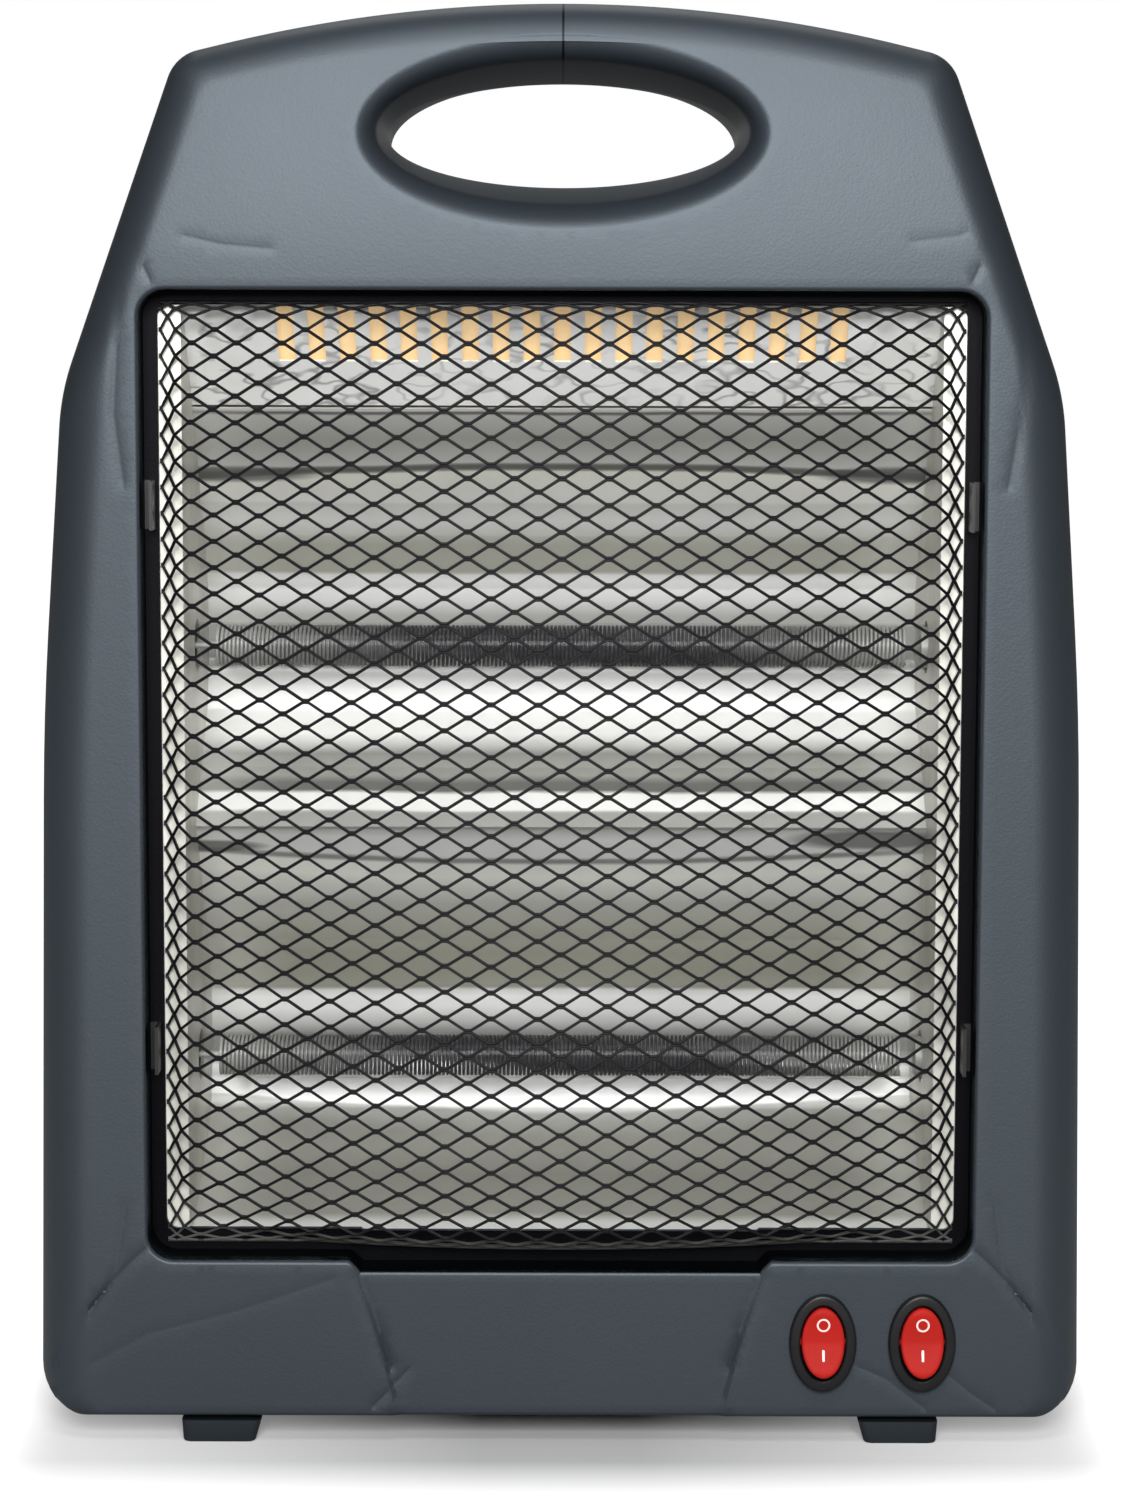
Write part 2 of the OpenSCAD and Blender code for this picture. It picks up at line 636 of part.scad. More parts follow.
// The wound wire is drawn as the sleeve that its turns fill
module coil(z) {
    reach = plate_x - 6;
    color([0.30, 0.28, 0.27])
    union() {
        difference() {
            rod_x(-reach, reach, tube_y, z, coil_d/2);
            rod_x(-reach + 1.5, reach - 1.5, tube_y, z, coil_d/2 - coil_wire);
            rod_x(-reach - 1, reach + 1, tube_y + coil_d/4, z, coil_d/8);
        }
        rod_x(-tube_half - 1, -reach + 1, tube_y, z, pin_r*0.7);
        rod_x(reach - 1, tube_half + 1, tube_y, z, pin_r*0.7);
    }
}
module end_cap(z) {
    color([0.90, 0.88, 0.82])
    difference() {
        rod_x(cap_x0, cap_x0 + cap_len, tube_y, z, cap_d/2);
        rod_x(cap_x0 - 1, cap_x0 + cap_bore, tube_y, z, tube_d/2 + gap);
        rod_x(cap_x0, cap_x0 + cap_len + 1, tube_y, z, pin_r + gap);
    }
}
bracket_w = 14;
module tube_bracket(z) {
    under = z - cap_d/2 - gap;
    color([0.62, 0.63, 0.65])
    union() {
        block(plate_out, plate_out + 1, tube_y - bracket_w/2, tube_y + bracket_w/2, under - 12, under);
        block(plate_out, cap_x0 + cap_len + 1.2, tube_y - bracket_w/2, tube_y + bracket_w/2, under - 1, under);
        block(cap_x0 + cap_len + gap, cap_x0 + cap_len + 1.2, tube_y - bracket_w/2, tube_y + bracket_w/2,
              under - 1, under + 4);
    }
}
pin_x0 = tube_half + 1 + gap;
pin_x1 = cap_x0 + cap_len + 6;
module tube_terminals() {
    color([0.80, 0.66, 0.36])
    both_sides() for (z = tube_zs) {
        rod_x(pin_x0, pin_x1, tube_y, z, pin_r);
        rod_x(cap_x0 + cap_len + gap, cap_x0 + cap_len + 1, tube_y, z, pin_r*2);
    }
}

// ---- switches -------------------------------------------------------------

pivot_y = face_y + 1;
body_a = bezel_w/2 - 1.5;        // half axes of the switch body in its hole
body_b = bezel_h/2 - 1.5;
well_a = rocker_w/2 + loose;     // half axes of the well around the rocker
well_b = rocker_h/2 + 0.8;
switch_depth = 22;
switch_collar = 10;
switch_back = face_y + switch_depth;
module switch_body(x) {
    color([0.06, 0.06, 0.07])
    translate([x, 0, 0])
    difference() {
        union() {
            plate_xz(ellipse_pts(bezel_w/2, bezel_h/2, switch_z), face_y - bezel_t, face_y);
            plate_xz(ellipse_pts(body_a, body_b, switch_z), face_y, face_y + switch_collar);
            block(-body_a*0.8, body_a*0.8, face_y + switch_collar - 1, switch_back, switch_z - body_b*0.7, switch_z + body_b*0.7);
        }
        plate_xz(ellipse_pts(well_a, well_b, switch_z), face_y - bezel_t - eps, face_y + switch_collar - 2);
        rod_x(-body_a - 1, body_a + 1, pivot_y, switch_z, trunnion_r + running);
    }
}
// Front of a rocker in its middle position: two raised ends and a shallow valley
rocker_tip = face_y - bezel_t - 1.9;
rocker_valley = rocker_tip + 1.3;
rocker_foot = pivot_y + 3.6;
module rocker(x) {
    r = rocker_h/2;
    color([0.78, 0.14, 0.13])
    translate([x, pivot_y, switch_z]) rotate([-rocker_tilt, 0, 0]) translate([0, -pivot_y, 0])
    union() {
        intersection() {
            plate_xz(ellipse_pts(rocker_w/2, r), rocker_tip - 1, rocker_foot + 1);
            plate_yz([[rocker_tip, -r], [rocker_tip, -r*0.8], [rocker_valley, 0],
                      [rocker_tip, r*0.8], [rocker_tip, r], [rocker_foot, r*0.7], [rocker_foot, -r*0.7]],
                     -rocker_w, rocker_w);
        }
        rod_x(-body_a + 0.2, body_a - 0.2, pivot_y, 0, trunnion_r);
    }
}
blade_w = 4.8;
blade_t = 0.8;
blade_len = 9;
blade_dz = 5;
module switch_terminals(x) {
    color([0.83, 0.70, 0.42])
    for (s = [-1, 1])
        block(x - blade_w/2, x + blade_w/2, switch_back, switch_back + blade_len,
              switch_z + s*blade_dz - blade_t/2, switch_z + s*blade_dz + blade_t/2);
}

// ---- tip-over switch ------------------------------------------------------

tilt_w = 17;
tilt_h = 22;
collar_r = 5.5;
collar_h = 1.5;
tilt_floor = 2;
collar_z = bed_z + tilt_floor + plunger_travel + gap;
well_top = bed_z + tilt_h - tilt_floor;
spring_r = 4.2;
spring_wire = 0.4;
module tilt_body() {
    color([0.85, 0.85, 0.82])
    difference() {
        block(tilt_x - tilt_w/2, tilt_x + tilt_w/2, tilt_y - tilt_w/2, tilt_y + tilt_w/2,
              bed_z, bed_z + tilt_h);
        rod_z(bed_z - 1, bed_z + tilt_floor + 1, tilt_x, tilt_y, plunger_r + running);
        rod_z(bed_z + tilt_floor, well_top, tilt_x, tilt_y, collar_r + 0.5);
    }
}
module tilt_plunger() {
    color([0.12, 0.12, 0.13])
    union() {
        rod_z(0, collar_z + collar_h + 2, tilt_x, tilt_y, plunger_r);
        rod_z(collar_z, collar_z + collar_h, tilt_x, tilt_y, collar_r);
    }
}
spring_z0 = collar_z + collar_h + gap;
spring_z1 = well_top - gap;
spring_turns = 5;
module tilt_spring() {
    rise = spring_z1 - spring_z0 - 2*spring_wire;
    marks = 14*spring_turns;
    color([0.75, 0.76, 0.78])
    sweep([for (i = [0:marks])
              [tilt_x + spring_r*cos(360*spring_turns*i/marks), tilt_y + spring_r*sin(360*spring_turns*i/marks),
               spring_z0 + spring_wire + rise*i/marks]], spring_wire, 6);
}
module tilt_contacts() {
    color([0.83, 0.70, 0.42])
    for (s = [-1, 1])
        block(tilt_x + s*5 - 2.4, tilt_x + s*5 + 2.4, tilt_y - 0.4, tilt_y + 0.4,
              bed_z + tilt_h, bed_z + tilt_h + 7);
}

// ---- electrical parts -----------------------------------------------------

block_x = -50;
block_y = 27;
block_w = 34;
block_d = 15;
block_h = 13;
pole_pitch = 10;
module terminal_block() {
    color([0.90, 0.90, 0.86])
    difference() {
        block(block_x - block_w/2, block_x + block_w/2, block_y - block_d/2, block_y + block_d/2,
              bed_z, bed_z + block_h);
        for (i = [-1:1]) {
            rod_y(block_y - block_d, block_y + block_d, block_x + i*pole_pitch, bed_z + 4, 2);
            rod_z(bed_z + 6, bed_z + block_h + 1, block_x + i*pole_pitch, block_y, 2.2);
        }
    }
}
module terminal_screws() {
    color([0.83, 0.70, 0.42])
    for (i = [-1:1])
        rod_z(bed_z + 6.2, bed_z + block_h - 1.5, block_x + i*pole_pitch, block_y, 2);
}
earth_x = -60;
earth_z = plate_bottom + 14;
module earth_tag() {
    y = shield_y + sheet_t;
    color([0.83, 0.70, 0.42])
    union() {
        difference() {
            rod_y(y, y + 1, earth_x, earth_z, 4);
            rod_y(y - 1, y + 2, earth_x, earth_z, screw_r + 0.2);
        }
        block(earth_x - 2, earth_x + 2, y, y + 1, earth_z - 10, earth_z - 3);
    }
}
bush_lip = 2;
module cord_bush() {
    color([0.05, 0.05, 0.06])
    translate([bush_x, back_y, bush_z]) rotate([90, 0, 0])
    difference() {
        union() {
            translate([0, 0, -bush_lip]) cylinder(h = bush_lip, r = bush_r + 2);
            cylinder(h = wall + 6, r = bush_r);
            translate([0, 0, wall + gap]) cylinder(h = 1.5, r = bush_r + 1.2);
        }
        translate([0, 0, -bush_lip - 1]) cylinder(h = wall + bush_lip + 8, r = cord_bore/2);
    }
}

// ---- internal wiring ------------------------------------------------------

wire_r = 1.2;
lead_out = 6;        // how far a wire runs straight off a terminal
lead_bend = 5;
wire_in = 12.7;                          // distance of the upright runs from the side
wire_side = base_w/2 - wire_in;
wire_top = waist_w/2 + 3.6 - wire_in;
pole_z = bed_z + 4;                      // height of the terminal block's wire holes
pole_y = block_y - block_d/2 - gap;
contact_top = bed_z + tilt_h + 7 + gap;
blade_y = switch_back + blade_len + gap;
module wire_supply() {
    x = block_x + pole_pitch;
    color([0.45, 0.28, 0.16])
    sweep([[x, pole_y, pole_z], [x, pole_y - lead_out, pole_z], [x + 8, 6, pole_z + 8],
           [tilt_x - 18, 8, bed_z + 25],
           [tilt_x - lead_out, tilt_y - lead_out, contact_top + lead_bend],
           [tilt_x - 5, tilt_y, contact_top + lead_out], [tilt_x - 5, tilt_y, contact_top]], wire_r);
}
module wire_switches() {
    top = switch_z + blade_dz;
    x = switch_xs[0];
    far = switch_xs[1];
    color([0.75, 0.10, 0.10])
    union() {
        sweep([[tilt_x + 5, tilt_y, contact_top], [tilt_x + 5, tilt_y, contact_top + lead_out],
               [tilt_x + 8, tilt_y - lead_out, contact_top + lead_bend],
               [x - 6*lead_out, blade_y + 3*lead_bend, top + 2*lead_bend],
               [x - lead_bend, blade_y + 1.5*lead_out, top + lead_bend/2], [x, blade_y + lead_bend, top],
               [x, blade_y, top]], wire_r);
        sweep([[x, blade_y + lead_out/2, top], [x + lead_out, blade_y + lead_out, top + lead_out/2],
               [far - lead_out, blade_y + lead_out, top + lead_out/2],
               [far, blade_y + lead_bend*0.8, top], [far, blade_y, top]], wire_r);
    }
}
module wire_lower_tube() {
    low = switch_z - blade_dz;
    x = switch_xs[0];
    color([0.75, 0.10, 0.10])
    sweep([[x, blade_y, low], [x, blade_y + lead_out, low], [x + 8, blade_y + 12, low + 12],
           [wire_side - 14, 12, bed_z + 29], [wire_side - 2, 12, tube_z - 43], [wire_side, 10, tube_z - 29],
           [wire_top, 4, tube_z - 8], [pin_x1 + 4, tube_y, tube_z], [pin_x1 + gap, tube_y, tube_z]], wire_r);
}
module wire_upper_tube() {
    low = switch_z - blade_dz;
    x = switch_xs[1];
    color([0.75, 0.10, 0.10])
    sweep([[x, blade_y, low], [x, blade_y + lead_out, low], [x + 2, blade_y + 11, low + 20.6],
           [wire_side - 8, 22, tube_z - 45], [wire_side, 22, tube_z - 31], [wire_top, 22, tube_z],
           [wire_top, 22, tube_top_z - 30], [wire_top, 8, tube_top_z - 8], [pin_x1 + 4, tube_y, tube_top_z],
           [pin_x1 + gap, tube_y, tube_top_z]], wire_r);
}
module wire_neutral() {
    color([0.15, 0.25, 0.60])
    union() {
        sweep([[block_x, pole_y, pole_z], [block_x, pole_y - lead_out, pole_z], [block_x - 20, 8, pole_z + 9],
               [-wire_side + 14, 6, bed_z + 28], [-wire_side, 4, tube_z - 41], [-wire_top, 4, tube_z - 8],
               [-pin_x1 - 4, tube_y, tube_z], [-pin_x1 - gap, tube_y, tube_z]], wire_r);
        sweep([[-pin_x1 - 2, tube_y, tube_z + 2.8], [-wire_top, 6, tube_z + 12],
               [-wire_top, 6, tube_top_z - 10], [-pin_x1 - 4, tube_y, tube_top_z],
               [-pin_x1 - gap, tube_y, tube_top_z]], wire_r);
    }
}
module wire_earth() {
    x = block_x - pole_pitch;
    y = shield_y + sheet_t + 0.5;
    color([0.35, 0.60, 0.20])
    sweep([[x, block_y + block_d/2 + gap, pole_z], [x, y + 2, pole_z], [x, y + 5, pole_z + 16],
           [earth_x, y + 3, earth_z - 24], [earth_x, y, earth_z - 15],
           [earth_x, y, earth_z - 10 - gap]], wire_r);
}

// ---- feet and fasteners ---------------------------------------------------

foot_head_z = 4;     // depth of the screw heads inside the feet
module foot(side) {
    x0 = foot_track/2 - foot_w/2;
    x1 = foot_track/2 + foot_w/2;
    color([0.16, 0.17, 0.20])
    difference() {
        plate_xz([for (p = [[x0 + 1.6, 0], [x1 - 0.4, 0], [x1, floor_z], [x0, floor_z]]) [side*p[0], p[1]]],
                 -seat_front, seat_rear);
        for (y = foot_screw_ys) {
            rod_z(-1, floor_z + 1, side*foot_track/2, y, screw_r + 0.2);
            rod_z(-1, foot_head_z, side*foot_track/2, y, screw_head_r + 0.4);
        }
    }
}
module foot_screws() {
    color([0.55, 0.56, 0.58])
    both_sides() for (y = foot_screw_ys) {
        rod_z(foot_head_z, in_floor + foot_boss_h - 2, foot_track/2, y, screw_r);
        rod_z(foot_head_z - screw_head_h, foot_head_z, foot_track/2, y, screw_head_r);
    }
}
module housing_screws() {
    color([0.55, 0.56, 0.58]) at_bosses() seat_screw_y(screw_seat, -screw_reach, 0, 0);
}
module frame_screws() {
    y = ledge_y + gap + flange_t;
    color([0.55, 0.56, 0.58])
    both_sides() for (z = frame_screw_zs) seat_screw_y(y, y - frame_screw_len, frame_screw_x, z);
}
module shield_screws() {
    y = shield_y + sheet_t;
    color([0.55, 0.56, 0.58])
    union() {
        both_sides() for (z = shield_screw_zs) seat_screw_y(y, y - shield_screw_len, plate_out + 5, z);
        seat_screw_y(y + 1, y - 1.5, earth_x, earth_z);
    }
}

front_cover();
rear_cover();
guard();
guard_clips();
reflector_top();
reflector_upper();
reflector_lower();
mica_sheet();
mirror([1, 0, 0]) side_plate();  // side_plate_left
side_plate();  // side_plate_right
heat_shield();
quartz_tube(tube_top_z);  // quartz_tube_upper
quartz_tube(tube_z);  // quartz_tube_lower
coil(tube_top_z);  // coil_upper
coil(tube_z);  // coil_lower
mirror([1, 0, 0]) end_cap(tube_top_z);  // cap_upper_left
end_cap(tube_top_z);  // cap_upper_right
mirror([1, 0, 0]) end_cap(tube_z);  // cap_lower_left
end_cap(tube_z);  // cap_lower_right
mirror([1, 0, 0]) tube_bracket(tube_top_z);  // bracket_upper_left
tube_bracket(tube_top_z);  // bracket_upper_right
mirror([1, 0, 0]) tube_bracket(tube_z);  // bracket_lower_left
tube_bracket(tube_z);  // bracket_lower_right
tube_terminals();
switch_body(switch_xs[0]);  // switch_body_left
switch_body(switch_xs[1]);  // switch_body_right
rocker(switch_xs[0]);  // rocker_left
rocker(switch_xs[1]);  // rocker_right
switch_terminals(switch_xs[0]);  // switch_terminals_left
switch_terminals(switch_xs[1]);  // switch_terminals_right
tilt_body();
tilt_plunger();
tilt_spring();
tilt_contacts();
terminal_block();
terminal_screws();
earth_tag();
cord_bush();
wire_supply();
wire_switches();
wire_lower_tube();
wire_upper_tube();
wire_neutral();
wire_earth();
foot(-1);  // foot_left
foot(1);  // foot_right
foot_screws();
housing_screws();
frame_screws();
shield_screws();
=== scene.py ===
import math

import bmesh
import bpy
import numpy as np
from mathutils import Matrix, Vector, geometry


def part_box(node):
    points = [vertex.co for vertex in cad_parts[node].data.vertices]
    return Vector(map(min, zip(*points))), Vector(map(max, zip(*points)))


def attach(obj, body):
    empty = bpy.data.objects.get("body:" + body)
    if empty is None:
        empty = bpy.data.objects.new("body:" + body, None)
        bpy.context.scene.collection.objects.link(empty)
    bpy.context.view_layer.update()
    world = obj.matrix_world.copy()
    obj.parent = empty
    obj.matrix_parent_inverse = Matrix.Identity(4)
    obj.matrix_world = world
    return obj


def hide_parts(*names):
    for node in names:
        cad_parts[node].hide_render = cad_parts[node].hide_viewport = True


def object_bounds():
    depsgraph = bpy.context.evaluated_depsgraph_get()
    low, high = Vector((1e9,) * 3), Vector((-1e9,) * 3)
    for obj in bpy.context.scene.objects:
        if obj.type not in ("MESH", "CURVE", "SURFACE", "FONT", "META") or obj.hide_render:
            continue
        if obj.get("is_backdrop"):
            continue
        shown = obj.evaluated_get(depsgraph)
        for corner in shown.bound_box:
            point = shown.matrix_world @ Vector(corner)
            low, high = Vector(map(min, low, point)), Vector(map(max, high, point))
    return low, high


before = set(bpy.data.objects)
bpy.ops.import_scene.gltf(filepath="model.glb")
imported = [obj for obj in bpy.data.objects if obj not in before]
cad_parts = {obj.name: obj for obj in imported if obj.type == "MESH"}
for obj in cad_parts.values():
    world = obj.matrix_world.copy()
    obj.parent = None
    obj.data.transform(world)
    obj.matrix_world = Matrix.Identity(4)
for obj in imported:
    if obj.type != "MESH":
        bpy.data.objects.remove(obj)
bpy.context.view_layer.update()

# ---- The view -------------------------------------------------------------------------------
# The camera stands 0.85 m in front of the heater at three quarters of its height, tipped down,
# with a long lens. Lengths below are in metres.


def in_scene(name, data):
    made = bpy.data.objects.new(name, data)
    bpy.context.scene.collection.objects.link(made)
    return made


camera_data = bpy.data.cameras.new("camera")
camera_data.sensor_width = 36
camera_data.lens = 84.3
camera = in_scene("camera", camera_data)
camera.location = (0.0, -0.894, 0.276)
camera.rotation_euler = (math.radians(90 - 6.7), math.radians(-0.15), 0)
bpy.context.scene.camera = camera
bpy.context.scene.view_settings.view_transform = "Standard"

# ---- Studio ---------------------------------------------------------------------------------
# A floor and a surround that are seen white, while the light itself comes from the front: a wide
# soft lamp over the camera, weaker ones above and behind, and a dim surround.


class Socket:
    """A value on its way through a node tree. Arithmetic on it adds Math nodes."""

    def __init__(self, graph, link):
        self.graph = graph
        self.link = link

    def math(self, operation, *others):
        inputs = dict(enumerate((self, *others)))
        return self.graph.node("ShaderNodeMath", inputs, operation=operation)

    def __add__(self, other):
        return self.math("ADD", other)

    def __sub__(self, other):
        return self.math("SUBTRACT", other)

    def __rsub__(self, other):
        return self.graph.number(other).math("SUBTRACT", self)

    def __mul__(self, other):
        return self.math("MULTIPLY", other)

    def __truediv__(self, other):
        return self.math("DIVIDE", other)

    def __abs__(self):
        return self.math("ABSOLUTE")

    def clamped(self):
        return self.math("MAXIMUM", 0.0).math("MINIMUM", 1.0)

    __radd__ = __add__
    __rmul__ = __mul__


class Graph:
    """A node tree in the making, with one method that adds a node of any type."""

    def __init__(self, tree):
        self.tree = tree

    def node(self, kind, inputs=None, out=0, **settings):
        """Adds a node, sets it, feeds it, and gives its output, or a tuple where out is one."""
        made = self.tree.nodes.new(kind)
        for name, value in settings.items():
            if name == "stops":
                self.set_stops(made.color_ramp, value)
            else:
                setattr(made, name, value)
        for name, value in (inputs or {}).items():
            self.feed(made.inputs[name], value)
        if isinstance(out, tuple):
            return tuple(Socket(self, made.outputs[name]) for name in out)
        return Socket(self, made.outputs[out])

    def feed(self, socket, value):
        """Links a socket to a value, or to each of a list, or else sets it."""
        if isinstance(value, Socket | list):
            for one in value if isinstance(value, list) else [value]:
                self.tree.links.new(one.link, socket)
        else:
            socket.default_value = value

    def number(self, value):
        return self.node("ShaderNodeMath", {0: value, 1: 0.0}, operation="ADD")

    def set_stops(self, ramp, stops):
        while len(ramp.elements) < len(stops):
            ramp.elements.new(1.0)
        for element, (place, color) in zip(ramp.elements, stops):
            element.position = place
            element.color = (*color, 1)

    def mixed(self, factor, first, second):
        """One colour turning into another."""
        inputs = {0: factor, 6: first, 7: second}
        return self.node("ShaderNodeMix", inputs, out=2, data_type="RGBA")


class Finish(Graph):
    """A material: its tree starts with the shader, and its pattern reads Object coordinates."""

    def __init__(self, name, color, **sockets):
        self.material = bpy.data.materials.new(name)
        self.material.use_nodes = True
        super().__init__(self.material.node_tree)
        self.shader = self.tree.nodes["Principled BSDF"]
        self.color = (*color, 1)
        self.set("Base Color", self.color)
        for socket, value in sockets.items():
            self.set(socket.replace("_", " "), value)

    def set(self, name, value):
        self.feed(self.shader.inputs[name], value)

    def shade(self, factor):
        return tuple(min(c*factor, 1) for c in self.color[:3]) + (1,)

    def place(self):
        return self.node("ShaderNodeTexCoord", out="Object")

    def axes(self):
        return self.node("ShaderNodeSeparateXYZ", {"Vector": self.place()}, out=("X", "Y", "Z"))

    def noise(self, scale, detail=2.0, stretch=(1, 1, 1)):
        place = self.place()
        if stretch != (1, 1, 1):
            place = self.node("ShaderNodeMapping", {"Vector": place, "Scale": stretch})
        return self.node("ShaderNodeTexNoise", {"Vector": place, "Scale": scale, "Detail": detail})

    def bump(self, height, strength, distance):
        inputs = {"Height": height, "Strength": strength, "Distance": distance}
        self.set("Normal", self.node("ShaderNodeBump", inputs))

    def mottle(self, scale, amount, stretch=(1, 1, 1)):
        """Lets the base colour drift a little lighter and darker."""
        drift = ((self.noise(scale, 3.0, stretch) - 0.5)*2.2 + 0.5).clamped()
        self.set("Base Color", self.mixed(drift, self.shade(1 - amount), self.shade(1 + amount)))


floor_reach = 6
rays = ("Is Camera Ray", "Is Glossy Ray", "Is Transmission Ray")
floor_finish = Finish("studio floor", (0.80, 0.80, 0.80), Roughness=0.9, Specular_IOR_Level=0.0)
seen, glossy, through = floor_finish.node("ShaderNodeLightPath", out=rays)
shown = (seen + through + glossy*0.2).clamped()
# The floor glows white round the heater, and stays dark beneath it and close in front of it. The wide soft
# shadow round its foot is a painted shadow, graded out to the sides, on top of the shadow that the lamps
# cast.
x, y, _ = floor_finish.axes()
beside = ((abs(x) - 0.02)/0.30 + ((abs(x) - 0.122)/0.03).clamped().math("POWER", 2.0)).clamped()
before = (((y + 0.052)*-1)/0.042).clamped()
behind = ((y - 0.06)/0.05).clamped()
clear = (beside + before - beside*before).math("MAXIMUM", behind)
floor_finish.set("Base Color", floor_finish.mixed(shown, (0.22, 0.22, 0.22, 1), (0.52, 0.52, 0.52, 1)))
floor_finish.set("Emission Color", floor_finish.mixed(clear*shown, (0, 0, 0, 1), (1, 1, 1, 1)))
floor_finish.set("Emission Strength", 1.0)
floor_mesh = bpy.data.meshes.new("floor")
floor_corners = [(x*floor_reach, y*floor_reach, 0) for x, y in ((-1, -1), (1, -1), (1, 1), (-1, 1))]
floor_mesh.from_pydata(floor_corners, [], [(0, 1, 2, 3)])
floor_mesh.materials.append(floor_finish.material)
in_scene("floor", floor_mesh)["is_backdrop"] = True

world = bpy.data.worlds.new("surround")
world.use_nodes = True
bpy.context.scene.world = world
surround = Graph(world.node_tree)
seen, glossy, through = surround.node("ShaderNodeLightPath", out=rays)
aim = surround.node("ShaderNodeTexCoord", out="Generated")
depth = surround.node("ShaderNodeSeparateXYZ", {"Vector": aim}, out="Y")
glow_in_front, dim_glow = 0.30, 0.035
lit = (depth*-1).clamped().math("POWER", 3.0)*glow_in_front + dim_glow
# Gloss shows the white backdrop close to straight behind, and a trace of it elsewhere.
straight_back = ((depth - 0.90)*16).clamped()
shown = (seen + through + glossy*(straight_back*0.75 + 0.03)).clamped()
background = world.node_tree.nodes["Background"]
surround.feed(background.inputs["Color"], (1, 1, 1, 1))
surround.feed(background.inputs["Strength"], shown*(1 - lit) + lit)


def soft_lamp(name, place, target, size, power):
    data = bpy.data.lights.new(name, "AREA")
    data.shape = "RECTANGLE"
    data.size, data.size_y = size
    data.energy = power
    lamp = in_scene(name, data)
    lamp.location = place
    lamp.rotation_euler = (Vector(target) - Vector(place)).to_track_quat("-Z", "Y").to_euler()


soft_lamp("front lamp", (0, -1.30, 0.66), (0, 0, 0.32), (0.6, 0.5), 26)
soft_lamp("upper lamp", (0, -0.75, 1.15), (0, 0, 0.33), (0.5, 0.3), 4)
soft_lamp("back lamp", (0, 0.8, 1.3), (0, 0, 0.2), (0.8, 0.6), 3)

# ---- Front cover ----------------------------------------------------------------------------
# Moulded slate-grey plastic with a fine grain: a drafted wall that rounds over into the face,
# a lipped window with a deep return and a ledge for the guard, the front half of the carrying
# hole, a shallow badge panel and the folds and creases of the mould. Lengths are in mm from here.

MM = 0.001


def box_mm(name):
    """The low and the high corner of a node's box."""
    return [tuple(c/MM for c in corner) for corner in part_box(name)]


def placed(name, mesh, finish, replaced=None, body="housing"):
    """A finished piece of the heater: its mesh in metres, riding on its body."""
    mesh.materials.clear()
    mesh.materials.append(finish.material)
    made = in_scene(name, mesh)
    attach(made, body)
    if replaced:
        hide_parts(replaced)


smooth_below = 32


def skin(name, points, faces, sharp=smooth_below, flip=False):
    """A mesh from points in mm: doubles merged, faces the same way round, smooth up to an angle."""
    mesh = bpy.data.meshes.new(name)
    mesh.from_pydata([tuple(float(c)*MM for c in p) for p in points], [], faces)
    shape = bmesh.new()
    shape.from_mesh(mesh)
    bmesh.ops.remove_doubles(shape, verts=shape.verts, dist=2e-6)
    bmesh.ops.dissolve_degenerate(shape, edges=shape.edges, dist=1e-6)
    bmesh.ops.recalc_face_normals(shape, faces=shape.faces)
    if flip:
        bmesh.ops.reverse_faces(shape, faces=shape.faces)
    shape.to_mesh(mesh)
    shape.free()
    mesh.shade_smooth()
    mesh.set_sharp_from_angle(angle=math.radians(sharp))
    return mesh


def evaluated(carrier):
    """The mesh that a carrier's modifiers make. The carrier itself goes."""
    made = bpy.data.meshes.new_from_object(carrier.evaluated_get(bpy.context.evaluated_depsgraph_get()))
    bpy.data.objects.remove(carrier)
    return made


def with_wall(mesh, thickness):
    """The mesh of an open skin after a wall has grown behind it."""
    carrier = in_scene("carrier", mesh)
    wall = carrier.modifiers.new("wall", "SOLIDIFY")
    wall.thickness = thickness*MM
    wall.offset = -1
    wall.use_even_offset = False
    made = evaluated(carrier)
    made.set_sharp_from_angle(angle=math.radians(smooth_below))
    return made


def loft(rings, caps=False):
    """Points and faces through rings that have equal numbers of points."""
    count = len(rings[0])
    points = [p for ring in rings for p in ring]
    faces = []
    for k in range(len(rings) - 1):
        a, b = k*count, (k + 1)*count
        faces += [(a + i, a + (i + 1) % count, b + (i + 1) % count, b + i) for i in range(count)]
    if caps:
        faces.append(tuple(range(count))[::-1])
        faces.append(tuple(range(len(points) - count, len(points))))
    return points, faces


def together(*parts):
    """Several lots of points and faces as one."""
    points, faces = [], []
    for some_points, some_faces in parts:
        faces += [tuple(i + len(points) for i in face) for face in some_faces]
        points += list(some_points)
    return points, faces


def unit(v):
    return v/np.linalg.norm(v)


def moved_in(corners, distances):
    """A counter-clockwise polygon with each edge moved inwards by its own distance."""
    corners = np.asarray(corners, float)
    along = np.roll(corners, -1, axis=0) - corners
    along /= np.linalg.norm(along, axis=1)[:, None]
    out = np.stack([along[:, 1], -along[:, 0]], axis=1)
    reach = (out*corners).sum(1) - distances
    made = []
    for i in range(len(corners)):
        made.append(np.linalg.solve(np.stack([out[i - 1], out[i]]), [reach[i - 1], reach[i]]))
    return np.array(made)


def arc(before, corner, after, radius, steps):
    """The arc that rounds off the corner between two other places."""
    a, b = unit(before - corner), unit(after - corner)
    half = math.acos(float(a @ b))/2
    centre = corner + unit(a + b)*radius/math.sin(half)
    start = corner + a*radius/math.tan(half) - centre
    first = math.atan2(start[1], start[0])
    turn = math.copysign(math.pi - 2*half, b[0]*a[1] - b[1]*a[0])
    angles = [first + turn*k/steps for k in range(steps + 1)]
    return [centre + radius*np.array([math.cos(t), math.sin(t)]) for t in angles]


